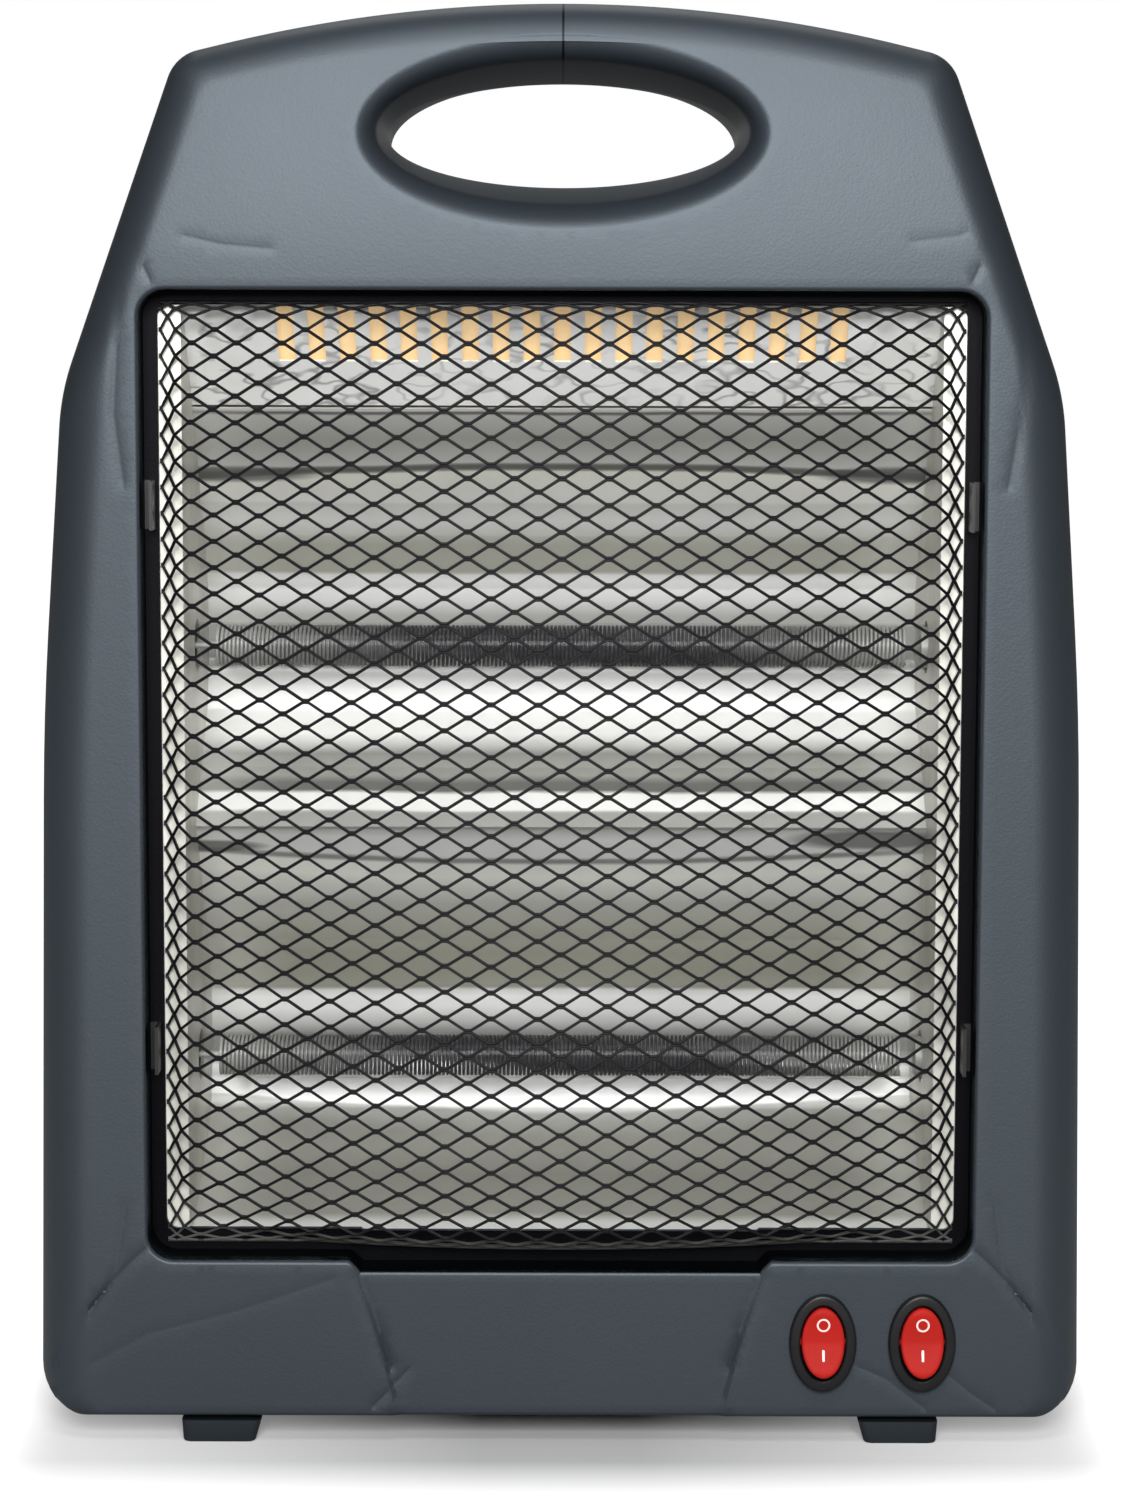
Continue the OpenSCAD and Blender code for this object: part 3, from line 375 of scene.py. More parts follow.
def rounded(corners, radii, steps, straights):
    """The polygon with an arc in each corner and each straight cut into equal lengths."""
    around = zip(np.roll(corners, 1, axis=0), corners, np.roll(corners, -1, axis=0), radii, steps)
    arcs = [arc(*place) for place in around]
    made = []
    for i, bend in enumerate(arcs):
        made += bend
        end, start = bend[-1], arcs[(i + 1) % len(arcs)][0]
        made += [end + (start - end)*k/straights[i] for k in range(1, straights[i])]
    return np.array(made)


# The housing's outline runs counter-clockwise from its lower right. Each corner has its radius and
# the steps of its arc. The edge after it has its number of lengths and its share of an inset.
(_, face_y, floor_z), (_, _, top_z) = box_mm("front_cover")
front_depth = -face_y
half_outline = [(133.1, floor_z), (130.3, 183), (125, top_z - 96.6), (95.4, top_z - 12.8)]
arch_peak = 10
outline = np.array(half_outline + [(0, top_z + arch_peak)] + [(-x, z) for x, z in half_outline[::-1]])
arch_slope = math.atan((arch_peak + 12.8)/95.4)
arch_radius = arch_peak/(1/math.cos(arch_slope) - 1)
corner_radii = [14, 800, 62, 12, arch_radius, 12, 62, 800, 14]
corner_steps = [10, 4, 10, 10, 60, 10, 10, 4, 10]
edge_lengths = [60, 24, 26, 8, 8, 26, 24, 60, 90]
edge_pull = np.array([1, 1, 0.8, 0.75, 0.75, 0.8, 1, 1, 0.2])
draft = 1.6
edge_round = 13.4
round_depth = 18
joint_bevel = 0.35
least_radius = 6
cover_wall = 1.4


def housing_inset(depth, full):
    """How far the outer skin has drawn in at a depth from the joint between the covers."""
    flat = full - round_depth
    if depth < flat:
        bevel = joint_bevel*max(0, 1 - depth/joint_bevel)
        return draft*(depth/flat)**2 + bevel
    return draft + edge_round*(1 - math.sqrt(max(0, 1 - ((depth - flat)/round_depth)**2)))


def housing_outline(inset):
    radii = [max(r - inset, least_radius) for r in corner_radii]
    return rounded(moved_in(outline, edge_pull*inset), radii, corner_steps, edge_lengths)


def skin_depths(full):
    flat = full - round_depth
    rounding = [flat + round_depth*math.sin(math.pi/2*k/16) for k in range(17)]
    return [0, joint_bevel, flat*0.25, flat*0.5, flat*0.75] + rounding


def ellipse(x, z, a, b, count):
    angles = np.arange(count)*2*math.pi/count
    return np.stack([x + a*np.cos(angles), z + b*np.sin(angles)], axis=1)


def standing(points, y):
    """Points of x and z, stood at a depth, which is one number or one for each."""
    points = np.asarray(points, float)
    return np.stack([points[:, 0], np.broadcast_to(y, len(points)), points[:, 1]], axis=1)


hole_a, hole_b, hole_z = 44, 12.9, 326.2
hole_flare, hole_widen, hole_drop, flare_power = 5.6, 1.5, 1.2, 1.3
hole_lip, lip_depth = 5.0, 9
hole_points = 96


def hole_ring(t, full):
    """The carrying hole's outline at a distance t behind a face."""
    open_up = max(0, 1 - t/full)**flare_power
    lip = 0 if t >= lip_depth else hole_lip*(1 - math.sqrt(1 - (1 - t/lip_depth)**2))
    a, b = hole_a + hole_widen*open_up + lip, hole_b + hole_flare*open_up + lip
    return ellipse(0, hole_z - hole_drop*open_up, a, b, hole_points)


def hole_stations(full):
    lip = [lip_depth*(1 - math.cos(math.pi/2*k/12)) for k in range(13)]
    return lip + [lip_depth + (full - lip_depth)*share for share in (0.2, 0.4, 0.6, 0.8, 1)]


# The face leans back above the window and below it. A fold is a line of places in x and z. So is
# a crease, with its depth and its width. Some of them mirror each other.
lean_from_z = 292
lean_slope, lean_ease = 0.13, 40
skirt_z = 47.5
skirt_slope = 0.045
fold_outer = [(108, 57), (110.2, 46.5), (117.7, 33), (127.1, 19.4)]
fold_inner = [(101.5, 52), (107.5, 46.5), (119.6, 33), (127.1, 19.4)]
badge_top, badge_bottom = (49.6, 45), (41.8, 12.5)
badge_depth, badge_bevel, badge_margin = 0.9, 1.2, 4
mirrored_creases = [
    ([(49.9, 44.4), (42.4, 20.4)], 0.8, 0.9),
    ([(101.5, 52), (107.5, 46.5), (119.6, 33), (126, 21)], 0.40, 0.8),
    ([(108, 62), (110.2, 46.5), (117.7, 33)], 0.25, 0.8)]
creases = [
    ([(-107, 285), (-108.6, 257.4), (-106.5, 241)], 0.30, 1.0),
    ([(111.1, 283), (112.3, 265), (108.4, 240.5)], 0.30, 1.0),
    ([(-99.5, 289.5), (-101.5, 294), (-105, 300.5)], 0.22, 0.7),
    ([(99, 290), (102.2, 297), (107, 310)], 0.22, 0.7),
    ([(-91, 300), (-82.3, 298), (-71, 297)], 0.12, 0.7),
    ([(104, 304.6), (95.5, 300.5), (84, 299)], 0.10, 0.8),
    ([(-56.6, 43.2), (-80.3, 35), (-102.8, 29), (-118, 20.5)], 0.09, 0.8),
    *[([(side*x, z) for x, z in path], depth, width) for path, depth, width in mirrored_creases
      for side in (-1, 1)],
    ([(-47, 9.8), (-41.3, 15.8), (-38, 19.4)], 0.25, 0.6),
    ([(75, 20.6), (81.7, 17.6), (91.5, 9.8)], 0.15, 0.6),
    ([(97.5, 18.4), (103, 13.8), (109, 9.8)], 0.15, 0.6)]


def to_path(points, path):
    """Distance of each point from a line through some places."""
    path = np.asarray(path, float)
    nearest = np.full(len(points), 1e9)
    for a, b in zip(path, path[1:]):
        share = np.clip((points - a) @ (b - a)/((b - a) @ (b - a)), 0, 1)
        gap = np.linalg.norm(points - a - share[:, None]*(b - a), axis=1)
        nearest = np.minimum(nearest, gap)
    return nearest


def right_of(points, path):
    """Whether each point's mirror image on the right lies outside a line that runs down."""
    places = np.asarray(path, float)[::-1]
    return np.abs(points[:, 0]) > np.interp(points[:, 1], places[:, 1], places[:, 0])


def set_back(points):
    """How far the face stands behind its plane at points of x and z."""
    points = np.asarray(points, float)
    x, z = np.abs(points[:, 0]), points[:, 1]
    above = np.maximum(z - lean_from_z, 0)
    back = lean_slope*above**2/(above + lean_ease)
    both = np.stack([x, z], axis=1)
    outer, inner = to_path(both, fold_outer), to_path(both, fold_inner)
    share = outer/(outer + inner + 1e-6)
    share[right_of(points, fold_outer)] = 0
    share[~right_of(points, fold_inner)] = 1
    back += skirt_slope*np.maximum(skirt_z - z, 0)*share
    half = np.interp(z, (badge_bottom[1], badge_top[1]), (badge_bottom[0], badge_top[0]))
    inside = np.clip((half - x)/badge_bevel, 0, 1)*(z < badge_top[1] + badge_margin)
    back += badge_depth*inside
    for path, depth, width in creases:
        back += depth*np.exp(-(to_path(points, path)/width)**2)
    return back


def within(points, loop):
    """Which points lie inside a closed loop."""
    x, z = points[:, 0], points[:, 1]
    found = np.zeros(len(points), bool)
    for (x0, z0), (x1, z1) in zip(loop, np.roll(loop, -1, axis=0)):
        if z0 != z1:
            found ^= ((z0 > z) != (z1 > z)) & (x < x0 + (z - z0)*(x1 - x0)/(z1 - z0))
    return found


def between(points, rim, holes):
    """Which points lie inside the rim and in none of the holes."""
    found = within(points, rim)
    for hole in holes:
        found &= ~within(points, hole)
    return found


def along_path(path, spacing):
    """Places at equal steps along a line through some places."""
    path = np.asarray(path, float)
    made = []
    for a, b in zip(path, path[1:]):
        count = max(1, round(np.linalg.norm(b - a)/spacing))
        made += [a + (b - a)*k/count for k in range(count)]
    return made + [path[-1]]


def face_patch(rim, holes, spacing, folds=(), extra=()):
    """Points of x and z, and triangles, that fill the rim around the holes."""
    loops = [rim, *holes]
    points, edges = [], []
    for loop in loops:
        first = len(points)
        points += list(loop)
        edges += [(first + i, first + (i + 1) % len(loop)) for i in range(len(loop))]
    wall_count = len(edges)
    for fold in folds:
        first = len(points)
        points += list(fold)
        edges += [(first + i, first + i + 1) for i in range(len(fold) - 1)]
    # Grid points keep off the edges and off the extra points, so that no sliver appears.
    low, high = rim.min(0), rim.max(0)
    rows = np.arange(low[1], high[1], spacing*0.87)
    grid = np.array([(x + spacing*0.5*(j % 2), z) for j, z in enumerate(rows)
                     for x in np.arange(low[0], high[0], spacing)])
    grid = grid[between(grid, rim, holes)]
    edge_points = np.array(points)
    if len(extra):
        extra = np.array(extra)
        extra = extra[within(extra, rim) & (near(extra, edge_points) > 0.45)]
        grid = grid[near(grid, extra) > 1.1]
    grid = grid[near(grid, edge_points) > spacing*0.55]
    points += list(grid) + list(extra)
    flat = [Vector((float(x), float(z))) for x, z in points]
    made, lines, faces, _, sources, _ = geometry.delaunay_2d_cdt(flat, edges, [], 0, 1e-5)
    made = np.array([tuple(p) for p in made])
    walls = {frozenset(line) for line, source in zip(lines, sources)
             if any(e < wall_count for e in source)}
    beside = {}
    for k, face in enumerate(faces):
        for pair in zip(face, face[1:] + face[:1]):
            beside.setdefault(frozenset(pair), []).append(k)
    inside = between(np.array([made[list(face)].mean(0) for face in faces]), rim, holes)
    # From the largest triangle inside, the patch spreads to its neighbours as far as the loops.
    corners = made[np.array(faces)]
    first, second = corners[:, 1] - corners[:, 0], corners[:, 2] - corners[:, 0]
    areas = np.abs(first[:, 0]*second[:, 1] - first[:, 1]*second[:, 0])
    kept = {int(np.argmax(np.where(inside, areas, 0)))}
    fresh = list(kept)
    while fresh:
        face = faces[fresh.pop()]
        for pair in zip(face, face[1:] + face[:1]):
            if frozenset(pair) not in walls:
                found = [k for k in beside[frozenset(pair)] if k not in kept]
                kept.update(found)
                fresh += found
    return made, [tuple(faces[k]) for k in sorted(kept)]


def near(points, others):
    """Distance of each point from the nearest of the others, in slices to save memory."""
    found = []
    for k in range(0, len(points), 500):
        gaps = points[k:k + 500, None] - others[None]
        found.append(np.sqrt((gaps**2).sum(2)).min(1))
    return np.concatenate(found) if found else np.zeros(0)


window_half, window_z0, window_z1, window_r = 102.5, 47.8, 287.3, 6.5
badge_half, badge_step = 49.5, 2.8
window_lip = 1.0
return_depth, ledge_thickness, ledge_in = 14, 2, 3.5
ledge_below, ledge_over_badge = 1.8, badge_step - 0.5


def window_outline(grow):
    """The window's outline, with the step down over the badge panel in its lower edge."""
    corners = [(window_half, window_z1), (-window_half, window_z1), (-window_half, window_z0),
               (-badge_half - badge_step, window_z0), (-badge_half, window_z0 - badge_step),
               (badge_half, window_z0 - badge_step), (badge_half + badge_step, window_z0),
               (window_half, window_z0)]
    radius = window_r + grow
    reflex = 0.5 if grow < 0 else 1.6 - grow
    radii = [radius, radius, radius, reflex, 0.5, 0.5, reflex, radius]
    distances = np.full(len(corners), -float(grow))
    if grow < 0:
        distances[2:7] += ledge_below
        distances[4] += ledge_over_badge
    corners = moved_in(corners, distances)
    return rounded(corners, radii, [8, 8, 8, 2, 2, 2, 2, 8], [60, 70, 16, 2, 34, 2, 16, 70])


switch_z = 27.4
switch_xs = [65.5, 90.2]
bezel_a, bezel_b = 8.35, 12.4
face_rim = housing_outline(housing_inset(front_depth, front_depth))
face_window = window_outline(window_lip)
face_hole = hole_ring(0, front_depth)
switch_holes = [ellipse(x, switch_z, bezel_a - 1.2, bezel_b - 1.2, 40) for x in switch_xs]
# The patch has edges along the folds, and rows of extra points along the creases.
face_reach, fold_spacing = 119, 1.5
folds, fine = [], []
for side in (-1, 1):
    for fold in (fold_outer, fold_inner):
        line = [(side*x, z) for x, z in fold if x < face_reach]
        folds.append(along_path(line, fold_spacing))
    for shift in (0, badge_bevel):
        top = side*(badge_top[0] - shift), badge_top[1] - 1.6
        bottom = side*(badge_bottom[0] - shift), badge_bottom[1]
        folds.append(along_path([top, bottom], fold_spacing))
for path, _, width in creases:
    middle = np.asarray(path, float)
    run = unit(middle[-1] - middle[0])
    for shift in (-1.2, -0.6, 0, 0.6, 1.2):
        fine += along_path(middle + shift*width*np.array([-run[1], run[0]]), 1.0)
flat_points, face_faces = face_patch(
    face_rim, [face_window, face_hole, *switch_holes], 2.4, folds, fine)
face_points = standing(flat_points, face_y + set_back(flat_points))

side_rings = []
for depth in skin_depths(front_depth):
    ring = housing_outline(housing_inset(depth, front_depth))
    share = max(0, (depth - front_depth + round_depth)/round_depth)**2
    side_rings.append(standing(ring, -depth + set_back(ring)*share))
hole_rings = []
for t in hole_stations(front_depth):
    ring = hole_ring(t, front_depth)
    hole_rings.append(standing(ring, face_y + t + set_back(ring)*(1 - t/front_depth)))
window_rings = []
lip_steps = [math.pi/2*k/5 for k in range(6)]
window_stations = [(window_lip*(1 - math.sin(s)), window_lip*(1 - math.cos(s))) for s in lip_steps]
ledge_front = return_depth - ledge_thickness
window_stations += [(0, 5), (0, ledge_front), (-ledge_in, ledge_front), (-ledge_in, return_depth)]
for grow, depth in window_stations:
    back = set_back(face_window)*(1 - depth/return_depth)
    window_rings.append(standing(window_outline(grow), face_y + depth + back))
parts = [(face_points, face_faces), loft(side_rings), loft(hole_rings), loft(window_rings)]
parts += [loft([standing(hole, face_y + set_back(hole) + t) for t in (0, 2)]) for hole in switch_holes]
cover_mesh = with_wall(skin("front_cover_skin", *together(*parts)), cover_wall)


def housing_plastic(name, color):
    """Slate-grey polypropylene: fine grain, faint smudges, and a satin that varies a little."""
    made = Finish(name, color, Specular_IOR_Level=0.62, Specular_Tint=(0.80, 0.91, 1.0, 1))
    smudges = ((made.noise(16, 4.0) - 0.5)*1.6 + 0.5).clamped()
    clouds = made.noise(5, 2.0)
    drift = (smudges*0.6 + clouds*0.4).clamped()
    made.tone = made.mixed(drift, made.shade(0.90), made.shade(1.10))
    made.set("Roughness", smudges*0.05 + clouds*0.06 + 0.44)
    made.bump(made.noise(1400, 2.0)*0.7 + made.noise(420, 2.0)*0.3, 0.10, 0.0006)
    return made


def past(value, edge, steepness):
    """0 before an edge in mm and 1 past it, or the other way round where the steepness is below 0."""
    return ((value - edge*MM)*steepness).clamped()


slate = (0.019, 0.024, 0.030)
cover_finish = housing_plastic("slate plastic", slate)
# The window's recess behind the face is painted dark as painted shade, with Metallic raised there so that it
# shows no sheen. The seam over the carrying hole is a dark line painted the same way.
x, y, z = cover_finish.axes()
window_shade = past(abs(x), window_half + 0.3, -4000)*past(z, window_z0 - badge_step - 0.4, 4000)
window_shade = window_shade*past(z, window_z1 + 0.3, -4000)*past(y, face_y + 0.9, 2500)
window_shade = window_shade*past(z, hole_z - 25, -2000)
seam = past(abs(x), 0.4, -4000)*past(z, hole_z + 8, 2000)
window_shade_and_seam = window_shade.math("MAXIMUM", seam*0.85)
shaded = cover_finish.mixed(window_shade_and_seam, cover_finish.tone, (0.006, 0.006, 0.007, 1))
cover_finish.set("Base Color", shaded)
# Metallic follows the painted shade of the recess and the seam, so that neither shows a sheen.
cover_finish.set("Metallic", window_shade_and_seam)
placed("front_cover_shell", cover_mesh, cover_finish, "front_cover")

# ---- Rear cover -----------------------------------------------------------------------------
# The deeper half of the housing, of the same plastic: the rear half of the carrying hole, two
# columns of slots over the heat shield, six deep screw wells and the hole for the lead's bush.

rear_depth = box_mm("rear_cover")[1][1]
vent_rows, vent_pitch, vent_z0 = 11, 15, 96
vent_length, vent_height = 74, 4
vent_bevel, vent_return = 0.5, 2.5
screw_places = [(side*x, z) for side in (-1, 1) for x, z in ((112, 26), (112, 145), (84, 314))]
well_radius, well_floor = 3.4, 8
screw_hole, screw_boss_end = 1.8, 4
bush_place, bush_hole = (-96, 30), 6.5


def stadium(x, z, length, height, count=10):
    """A slot's outline: two half circles joined by straights."""
    reach = length/2 - height/2
    right = [math.pi*(k/count - 0.5) for k in range(count + 1)]
    made = [(x + reach + height/2*math.cos(t), z + height/2*math.sin(t)) for t in right]
    top = [(x + reach - 2*reach*k/12, z + height/2) for k in range(1, 12)]
    left = [(2*x - px, 2*z - pz) for px, pz in made]
    bottom = [(2*x - px, 2*z - pz) for px, pz in top]
    return np.array(made + top + left + bottom)


rear_rim = housing_outline(housing_inset(rear_depth, rear_depth))
vents = [(x, vent_z0 + vent_pitch*i) for x in (-43, 43) for i in range(vent_rows)]
rear_loops = [hole_ring(0, rear_depth)]
rear_loops += [stadium(x, z, vent_length + 2*vent_bevel, vent_height + 2*vent_bevel) for x, z in vents]
rear_loops += [ellipse(x, z, well_radius + vent_bevel, well_radius + vent_bevel, 32) for x, z in screw_places]
rear_loops.append(ellipse(*bush_place, bush_hole, bush_hole, 40))
flat_points, rear_faces = face_patch(rear_rim, rear_loops, 3.4)
parts = [(standing(flat_points, rear_depth), rear_faces)]
parts.append(loft([standing(housing_outline(housing_inset(depth, rear_depth)), depth)
                   for depth in skin_depths(rear_depth)]))
parts.append(loft([standing(hole_ring(t, rear_depth), rear_depth - t) for t in hole_stations(rear_depth)]))
vent_stations = [(vent_bevel, 0), (vent_bevel*0.3, vent_bevel*0.3), (0, vent_bevel), (0, vent_return)]
for x, z in vents:
    parts.append(loft([standing(stadium(x, z, vent_length + 2*grow, vent_height + 2*grow), rear_depth - t)
                       for grow, t in vent_stations]))
well_stations = [(well_radius + vent_bevel, 0), (well_radius, vent_bevel),
                 (well_radius, rear_depth - well_floor), (screw_hole, rear_depth - well_floor),
                 (screw_hole, rear_depth - screw_boss_end)]
for x, z in screw_places:
    parts.append(loft([standing(ellipse(x, z, r, r, 32), rear_depth - t) for r, t in well_stations]))
parts.append(loft([standing(rear_loops[-1], rear_depth - t) for t in (0, vent_return)]))
rear_mesh = with_wall(skin("rear_cover_skin", *together(*parts)), cover_wall)
rear_finish = housing_plastic("slate plastic, rear", slate)
rear_finish.set("Base Color", rear_finish.tone)
placed("rear_cover_shell", rear_mesh, rear_finish, "rear_cover")

# ---- Guard ----------------------------------------------------------------------------------
# Steel sheet, slit and drawn open into small diamonds, pressed into a shallow pillow, its edges
# turned back to the ledge, and dipped in black enamel.


def grown(name, points, sizes, build, finish):
    """The mesh that a Geometry Nodes tree grows on some points, its sizes given by name."""
    tree = bpy.data.node_groups.new(name, "GeometryNodeTree")
    tree.interface.new_socket("Geometry", in_out="OUTPUT", socket_type="NodeSocketGeometry")
    tree.interface.new_socket("Geometry", in_out="INPUT", socket_type="NodeSocketGeometry")
    kinds = {int: "NodeSocketInt", float: "NodeSocketFloat"}
    identifiers = {}
    for label, value in sizes.items():
        kind = kinds[type(value)]
        socket = tree.interface.new_socket(label, in_out="INPUT", socket_type=kind)
        identifiers[label] = socket.identifier
    graph = Graph(tree)
    entry = tree.nodes.new("NodeGroupInput")
    given = {label: Socket(graph, entry.outputs[label]) for label in sizes}
    shape = build(graph, Socket(graph, entry.outputs["Geometry"]), given)
    shape = graph.node("GeometryNodeTransform", {"Geometry": shape, "Scale": (MM, MM, MM)})
    shape = graph.node("GeometryNodeRealizeInstances", {"Geometry": shape})
    shape = graph.node("GeometryNodeSetMaterial", {"Geometry": shape, "Material": finish.material})
    graph.feed(tree.nodes.new("NodeGroupOutput").inputs["Geometry"], shape)
    mesh = bpy.data.meshes.new(name)
    mesh.from_pydata([tuple(float(c) for c in p) for p in points], [], [])
    carrier = in_scene("carrier", mesh)
    modifier = carrier.modifiers.new("grown", "NODES")
    modifier.node_group = tree
    for label, value in sizes.items():
        modifier[identifiers[label]] = value
    return evaluated(carrier)


(_, guard_y0, guard_z0), (guard_x1, guard_y1, guard_z1) = box_mm("guard")
strand_r = 0.42
guard_sizes = {
    "Strands": 81, "Bonds": 39, "Half cell": 5.65, "Bond length": 1.5, "Strand pitch": 3.2,
    "Strand swing": 1.32, "Strand radius": strand_r, "Bulge radius": 257.0,
    "Half width": guard_x1 - strand_r, "Half height": (guard_z1 - guard_z0)/2 - strand_r,
    "Middle height": (guard_z1 + guard_z0)/2, "Crown": guard_y0 + strand_r,
    "Seat": guard_y1 - strand_r, "End fall": 12.5, "End length": 26.0,
    "Side wall": 5.6, "End wall": 2.2, "Wall lean": 0.34, "Wall depth": 0.42}


def round_wire(graph, curves, radius, sides):
    section = {"Resolution": sides, "Radius": radius}
    section = graph.node("GeometryNodeCurvePrimitiveCircle", section)
    inputs = {"Curve": curves, "Profile Curve": section, "Fill Caps": True}
    return graph.node("GeometryNodeCurveToMesh", inputs)


def expanded_metal(graph, _, given):
    strands, bonds = given["Strands"], given["Bonds"]
    count = bonds*2
    line = graph.node("GeometryNodeMeshLine", {"Count": count})
    lines = graph.node("GeometryNodeMeshLine", {"Count": strands})
    laid = graph.node("GeometryNodeInstanceOnPoints", {"Points": lines, "Instance": line})
    laid = graph.node("GeometryNodeRealizeInstances", {"Geometry": laid})
    index = graph.node("GeometryNodeInputIndex")
    strand = ((index + 0.5)/count).math("FLOOR")
    along = index - strand*count
    bond = ((along + 0.5)/2).math("FLOOR")
    end = along - bond*2
    swing = 1 - ((bond + strand).math("MODULO", 2.0))*2
    u = (bond - (bonds - 1)/2)*given["Half cell"] + (end - 0.5)*given["Bond length"]
    v = (strand - (strands - 1)/2)*given["Strand pitch"] + swing*given["Strand swing"]
    turned_back = []
    for place, half, wall in ((u, given["Half width"], given["Side wall"]),
                              (v, given["Half height"], given["End wall"])):
        past = (abs(place) - half + wall).math("MAXIMUM", 0.0)
        reach = (abs(place) - past + past*given["Wall lean"]).math("MINIMUM", half)
        turned_back.append((place.math("SIGN")*reach, past*given["Wall depth"]))
    (x, past_x), (z, past_z) = turned_back
    radius = given["Bulge radius"]
    bulge = radius - (radius*radius - x*x).math("SQRT")
    near_end = ((abs(v) - given["Half height"])/given["End length"] + 1).clamped()
    fall = near_end.math("POWER", 1.85)*given["End fall"]
    y = (given["Crown"] + bulge + fall + past_x + past_z).math("MINIMUM", given["Seat"])
    place = {"X": x, "Y": y, "Z": z + given["Middle height"]}
    place = graph.node("ShaderNodeCombineXYZ", place)
    laid = graph.node("GeometryNodeSetPosition", {"Geometry": laid, "Position": place})
    curves = graph.node("GeometryNodeMeshToCurve", {"Mesh": laid})
    return round_wire(graph, curves, given["Strand radius"], 6)


enamel = Finish("black enamel", (0.007, 0.007, 0.008), Roughness=0.5, Specular_IOR_Level=0.15)
# The lowest rows of the guard are painted lighter grey: painted light, standing for the light that they
# catch.
painted_light_low_rows = past(enamel.axes()[2], 54, -400)
enamel.set("Base Color", enamel.mixed(painted_light_low_rows, enamel.color, (0.05, 0.05, 0.047, 1)))
enamel.bump(enamel.noise(900), 0.15, 0.0003)
guard_mesh = grown("guard_strands", [(0, 0, 0)], guard_sizes, expanded_metal, enamel)
placed("guard_mesh", guard_mesh, enamel, "guard")

# ---- Reflectors -----------------------------------------------------------------------------
# Bright rolled aluminium 0.6 mm thick, folded into a trough behind each tube. The sheet shows its
# folds as crisp edges, and painted reflections: the dark and light of its surroundings in bands.
# Above lies the slotted panel with its mica, and yellow-passivated plates close the box's sides.


def eased(path, radius, steps=6):
    """An open path with its corners rounded off."""
    made = [path[0]]
    for before, corner, after in zip(path, path[1:], path[2:]):
        made += arc(before, corner, after, radius, steps)
    return np.array([*made, path[-1]])


def folded(name, path, half_width, thickness, lengths=24):
    """A sheet folded along a path of y and z, lying across the heater."""
    path = np.asarray(path)
    along = np.gradient(path, axis=0)
    along /= np.linalg.norm(along, axis=1)[:, None]
    back = path + thickness*np.stack([-along[:, 1], along[:, 0]], axis=1)
    loop = np.concatenate([path, back[::-1]])
    xs = np.linspace(-half_width, half_width, lengths)
    return skin(name, *loft([[(x, y, z) for y, z in loop] for x in xs], caps=True), sharp=14)


def aluminium(name, tones, bends=(), dark_reflections=(), metallic=0.25, roughness=0.32):
    """Bright aluminium with rolling lines, and painted reflections: the light and dark that it would
    mirror, painted in bands across it. A tone has its height in mm, its grey and its blue. A bend
    arches the tones around one height, as far as its reach, so that the painted reflections curve.
    A lens is a patch of painted dark reflection there: its place in x and z, and its half length and
    half height. Each sheet is also painted lighter towards its ends, as painted light."""
    made = Finish(name, (0.8, 0.8, 0.78), Metallic=metallic)
    x, _, z = made.axes()
    low, high = tones[0][0]*MM, tones[-1][0]*MM
    level = z + (made.noise(22, 2.0, (1, 1, 0.6)) - 0.5)*0.0016
    # The bends and the ramp below paint the reflections as bands by height.
    for centre, reach, arch in bends:
        share = (reach*MM - abs(z - centre*MM))/(reach*MM/2)
        level = level + x*x*share.clamped()*arch
    stops = [((height*MM - low)/(high - low), (grey, grey, blue)) for height, grey, blue in tones]
    made.tone = made.node("ShaderNodeValToRGB", {"Fac": (level - low)/(high - low)}, stops=stops)
    clouds = ((made.noise(30, 3.0, (0.45, 1, 1.6)) - 0.42)*3).clamped()
    made.tone = made.mixed(clouds*0.16, made.tone, (0.12, 0.12, 0.11, 1))
    # Each sheet is painted lighter towards its ends: painted light.
    ends_painted_light = ((abs(x) - 0.070)/0.025).clamped().math("POWER", 1.5)
    made.tone = made.mixed(ends_painted_light*0.35, made.tone, (0.90, 0.90, 0.86, 1))
    # Each lens paints a patch of dark reflection.
    for lens_x, lens_z, half_length, half_height in dark_reflections:
        along, up = (x - lens_x*MM)/(half_length*MM), (z - lens_z*MM)/(half_height*MM)
        inside = ((1 - along*along - up*up)*1.6).clamped()
        made.tone = made.mixed(inside*0.8, made.tone, (0.07, 0.07, 0.07, 1))
    lines = made.noise(260, 3.0, (0.04, 1, 1))
    made.set("Base Color", made.tone)
    made.set("Roughness", lines*0.14 + (roughness - 0.07))
    made.bump(lines, 0.12, 0.0004)
    return made


upper_tube_z, lower_tube_z = 197.5, 91
trough = np.array([(-5, 60.5), (10, 42), (22, 27), (30, 13), (31, -6), (26, -19), (8, -32), (-6, -45.6)])
apron = np.array([*trough[:6], (8, -27.5), (-24, -40.24)])
sheet_half, sheet_t = box_mm("reflector_upper")[1][0], 0.6
# The painted reflections of each trough: bands by height, with their bends and dark lenses.
upper_reflection_bands = [
    (152, 0.40, 0.38), (155.2, 0.38, 0.36), (155.8, 0.96, 0.94), (159.4, 0.97, 0.95),
    (160.2, 0.17, 0.16), (162, 0.18, 0.17), (163.6, 0.36, 0.33), (168.6, 0.22, 0.21),
    (170.2, 0.44, 0.43), (173, 0.78, 0.77), (184, 0.96, 0.95),
    (188.4, 0.90, 0.89), (189.4, 0.22, 0.21), (203, 0.36, 0.34), (207, 0.62, 0.61),
    (212.5, 0.80, 0.79), (213.9, 0.72, 0.70), (214.8, 0.37, 0.32), (222, 0.38, 0.33),
    (228.5, 0.62, 0.61), (233, 0.57, 0.55), (233.8, 0.70, 0.67), (241.9, 0.76, 0.68),
    (242.5, 0.12, 0.11), (243.8, 0.13, 0.12), (244.4, 0.54, 0.52), (250.5, 0.36, 0.33),
    (256.4, 0.50, 0.48), (256.8, 0.14, 0.13), (257.2, 0.14, 0.13), (257.6, 0.60, 0.58)]
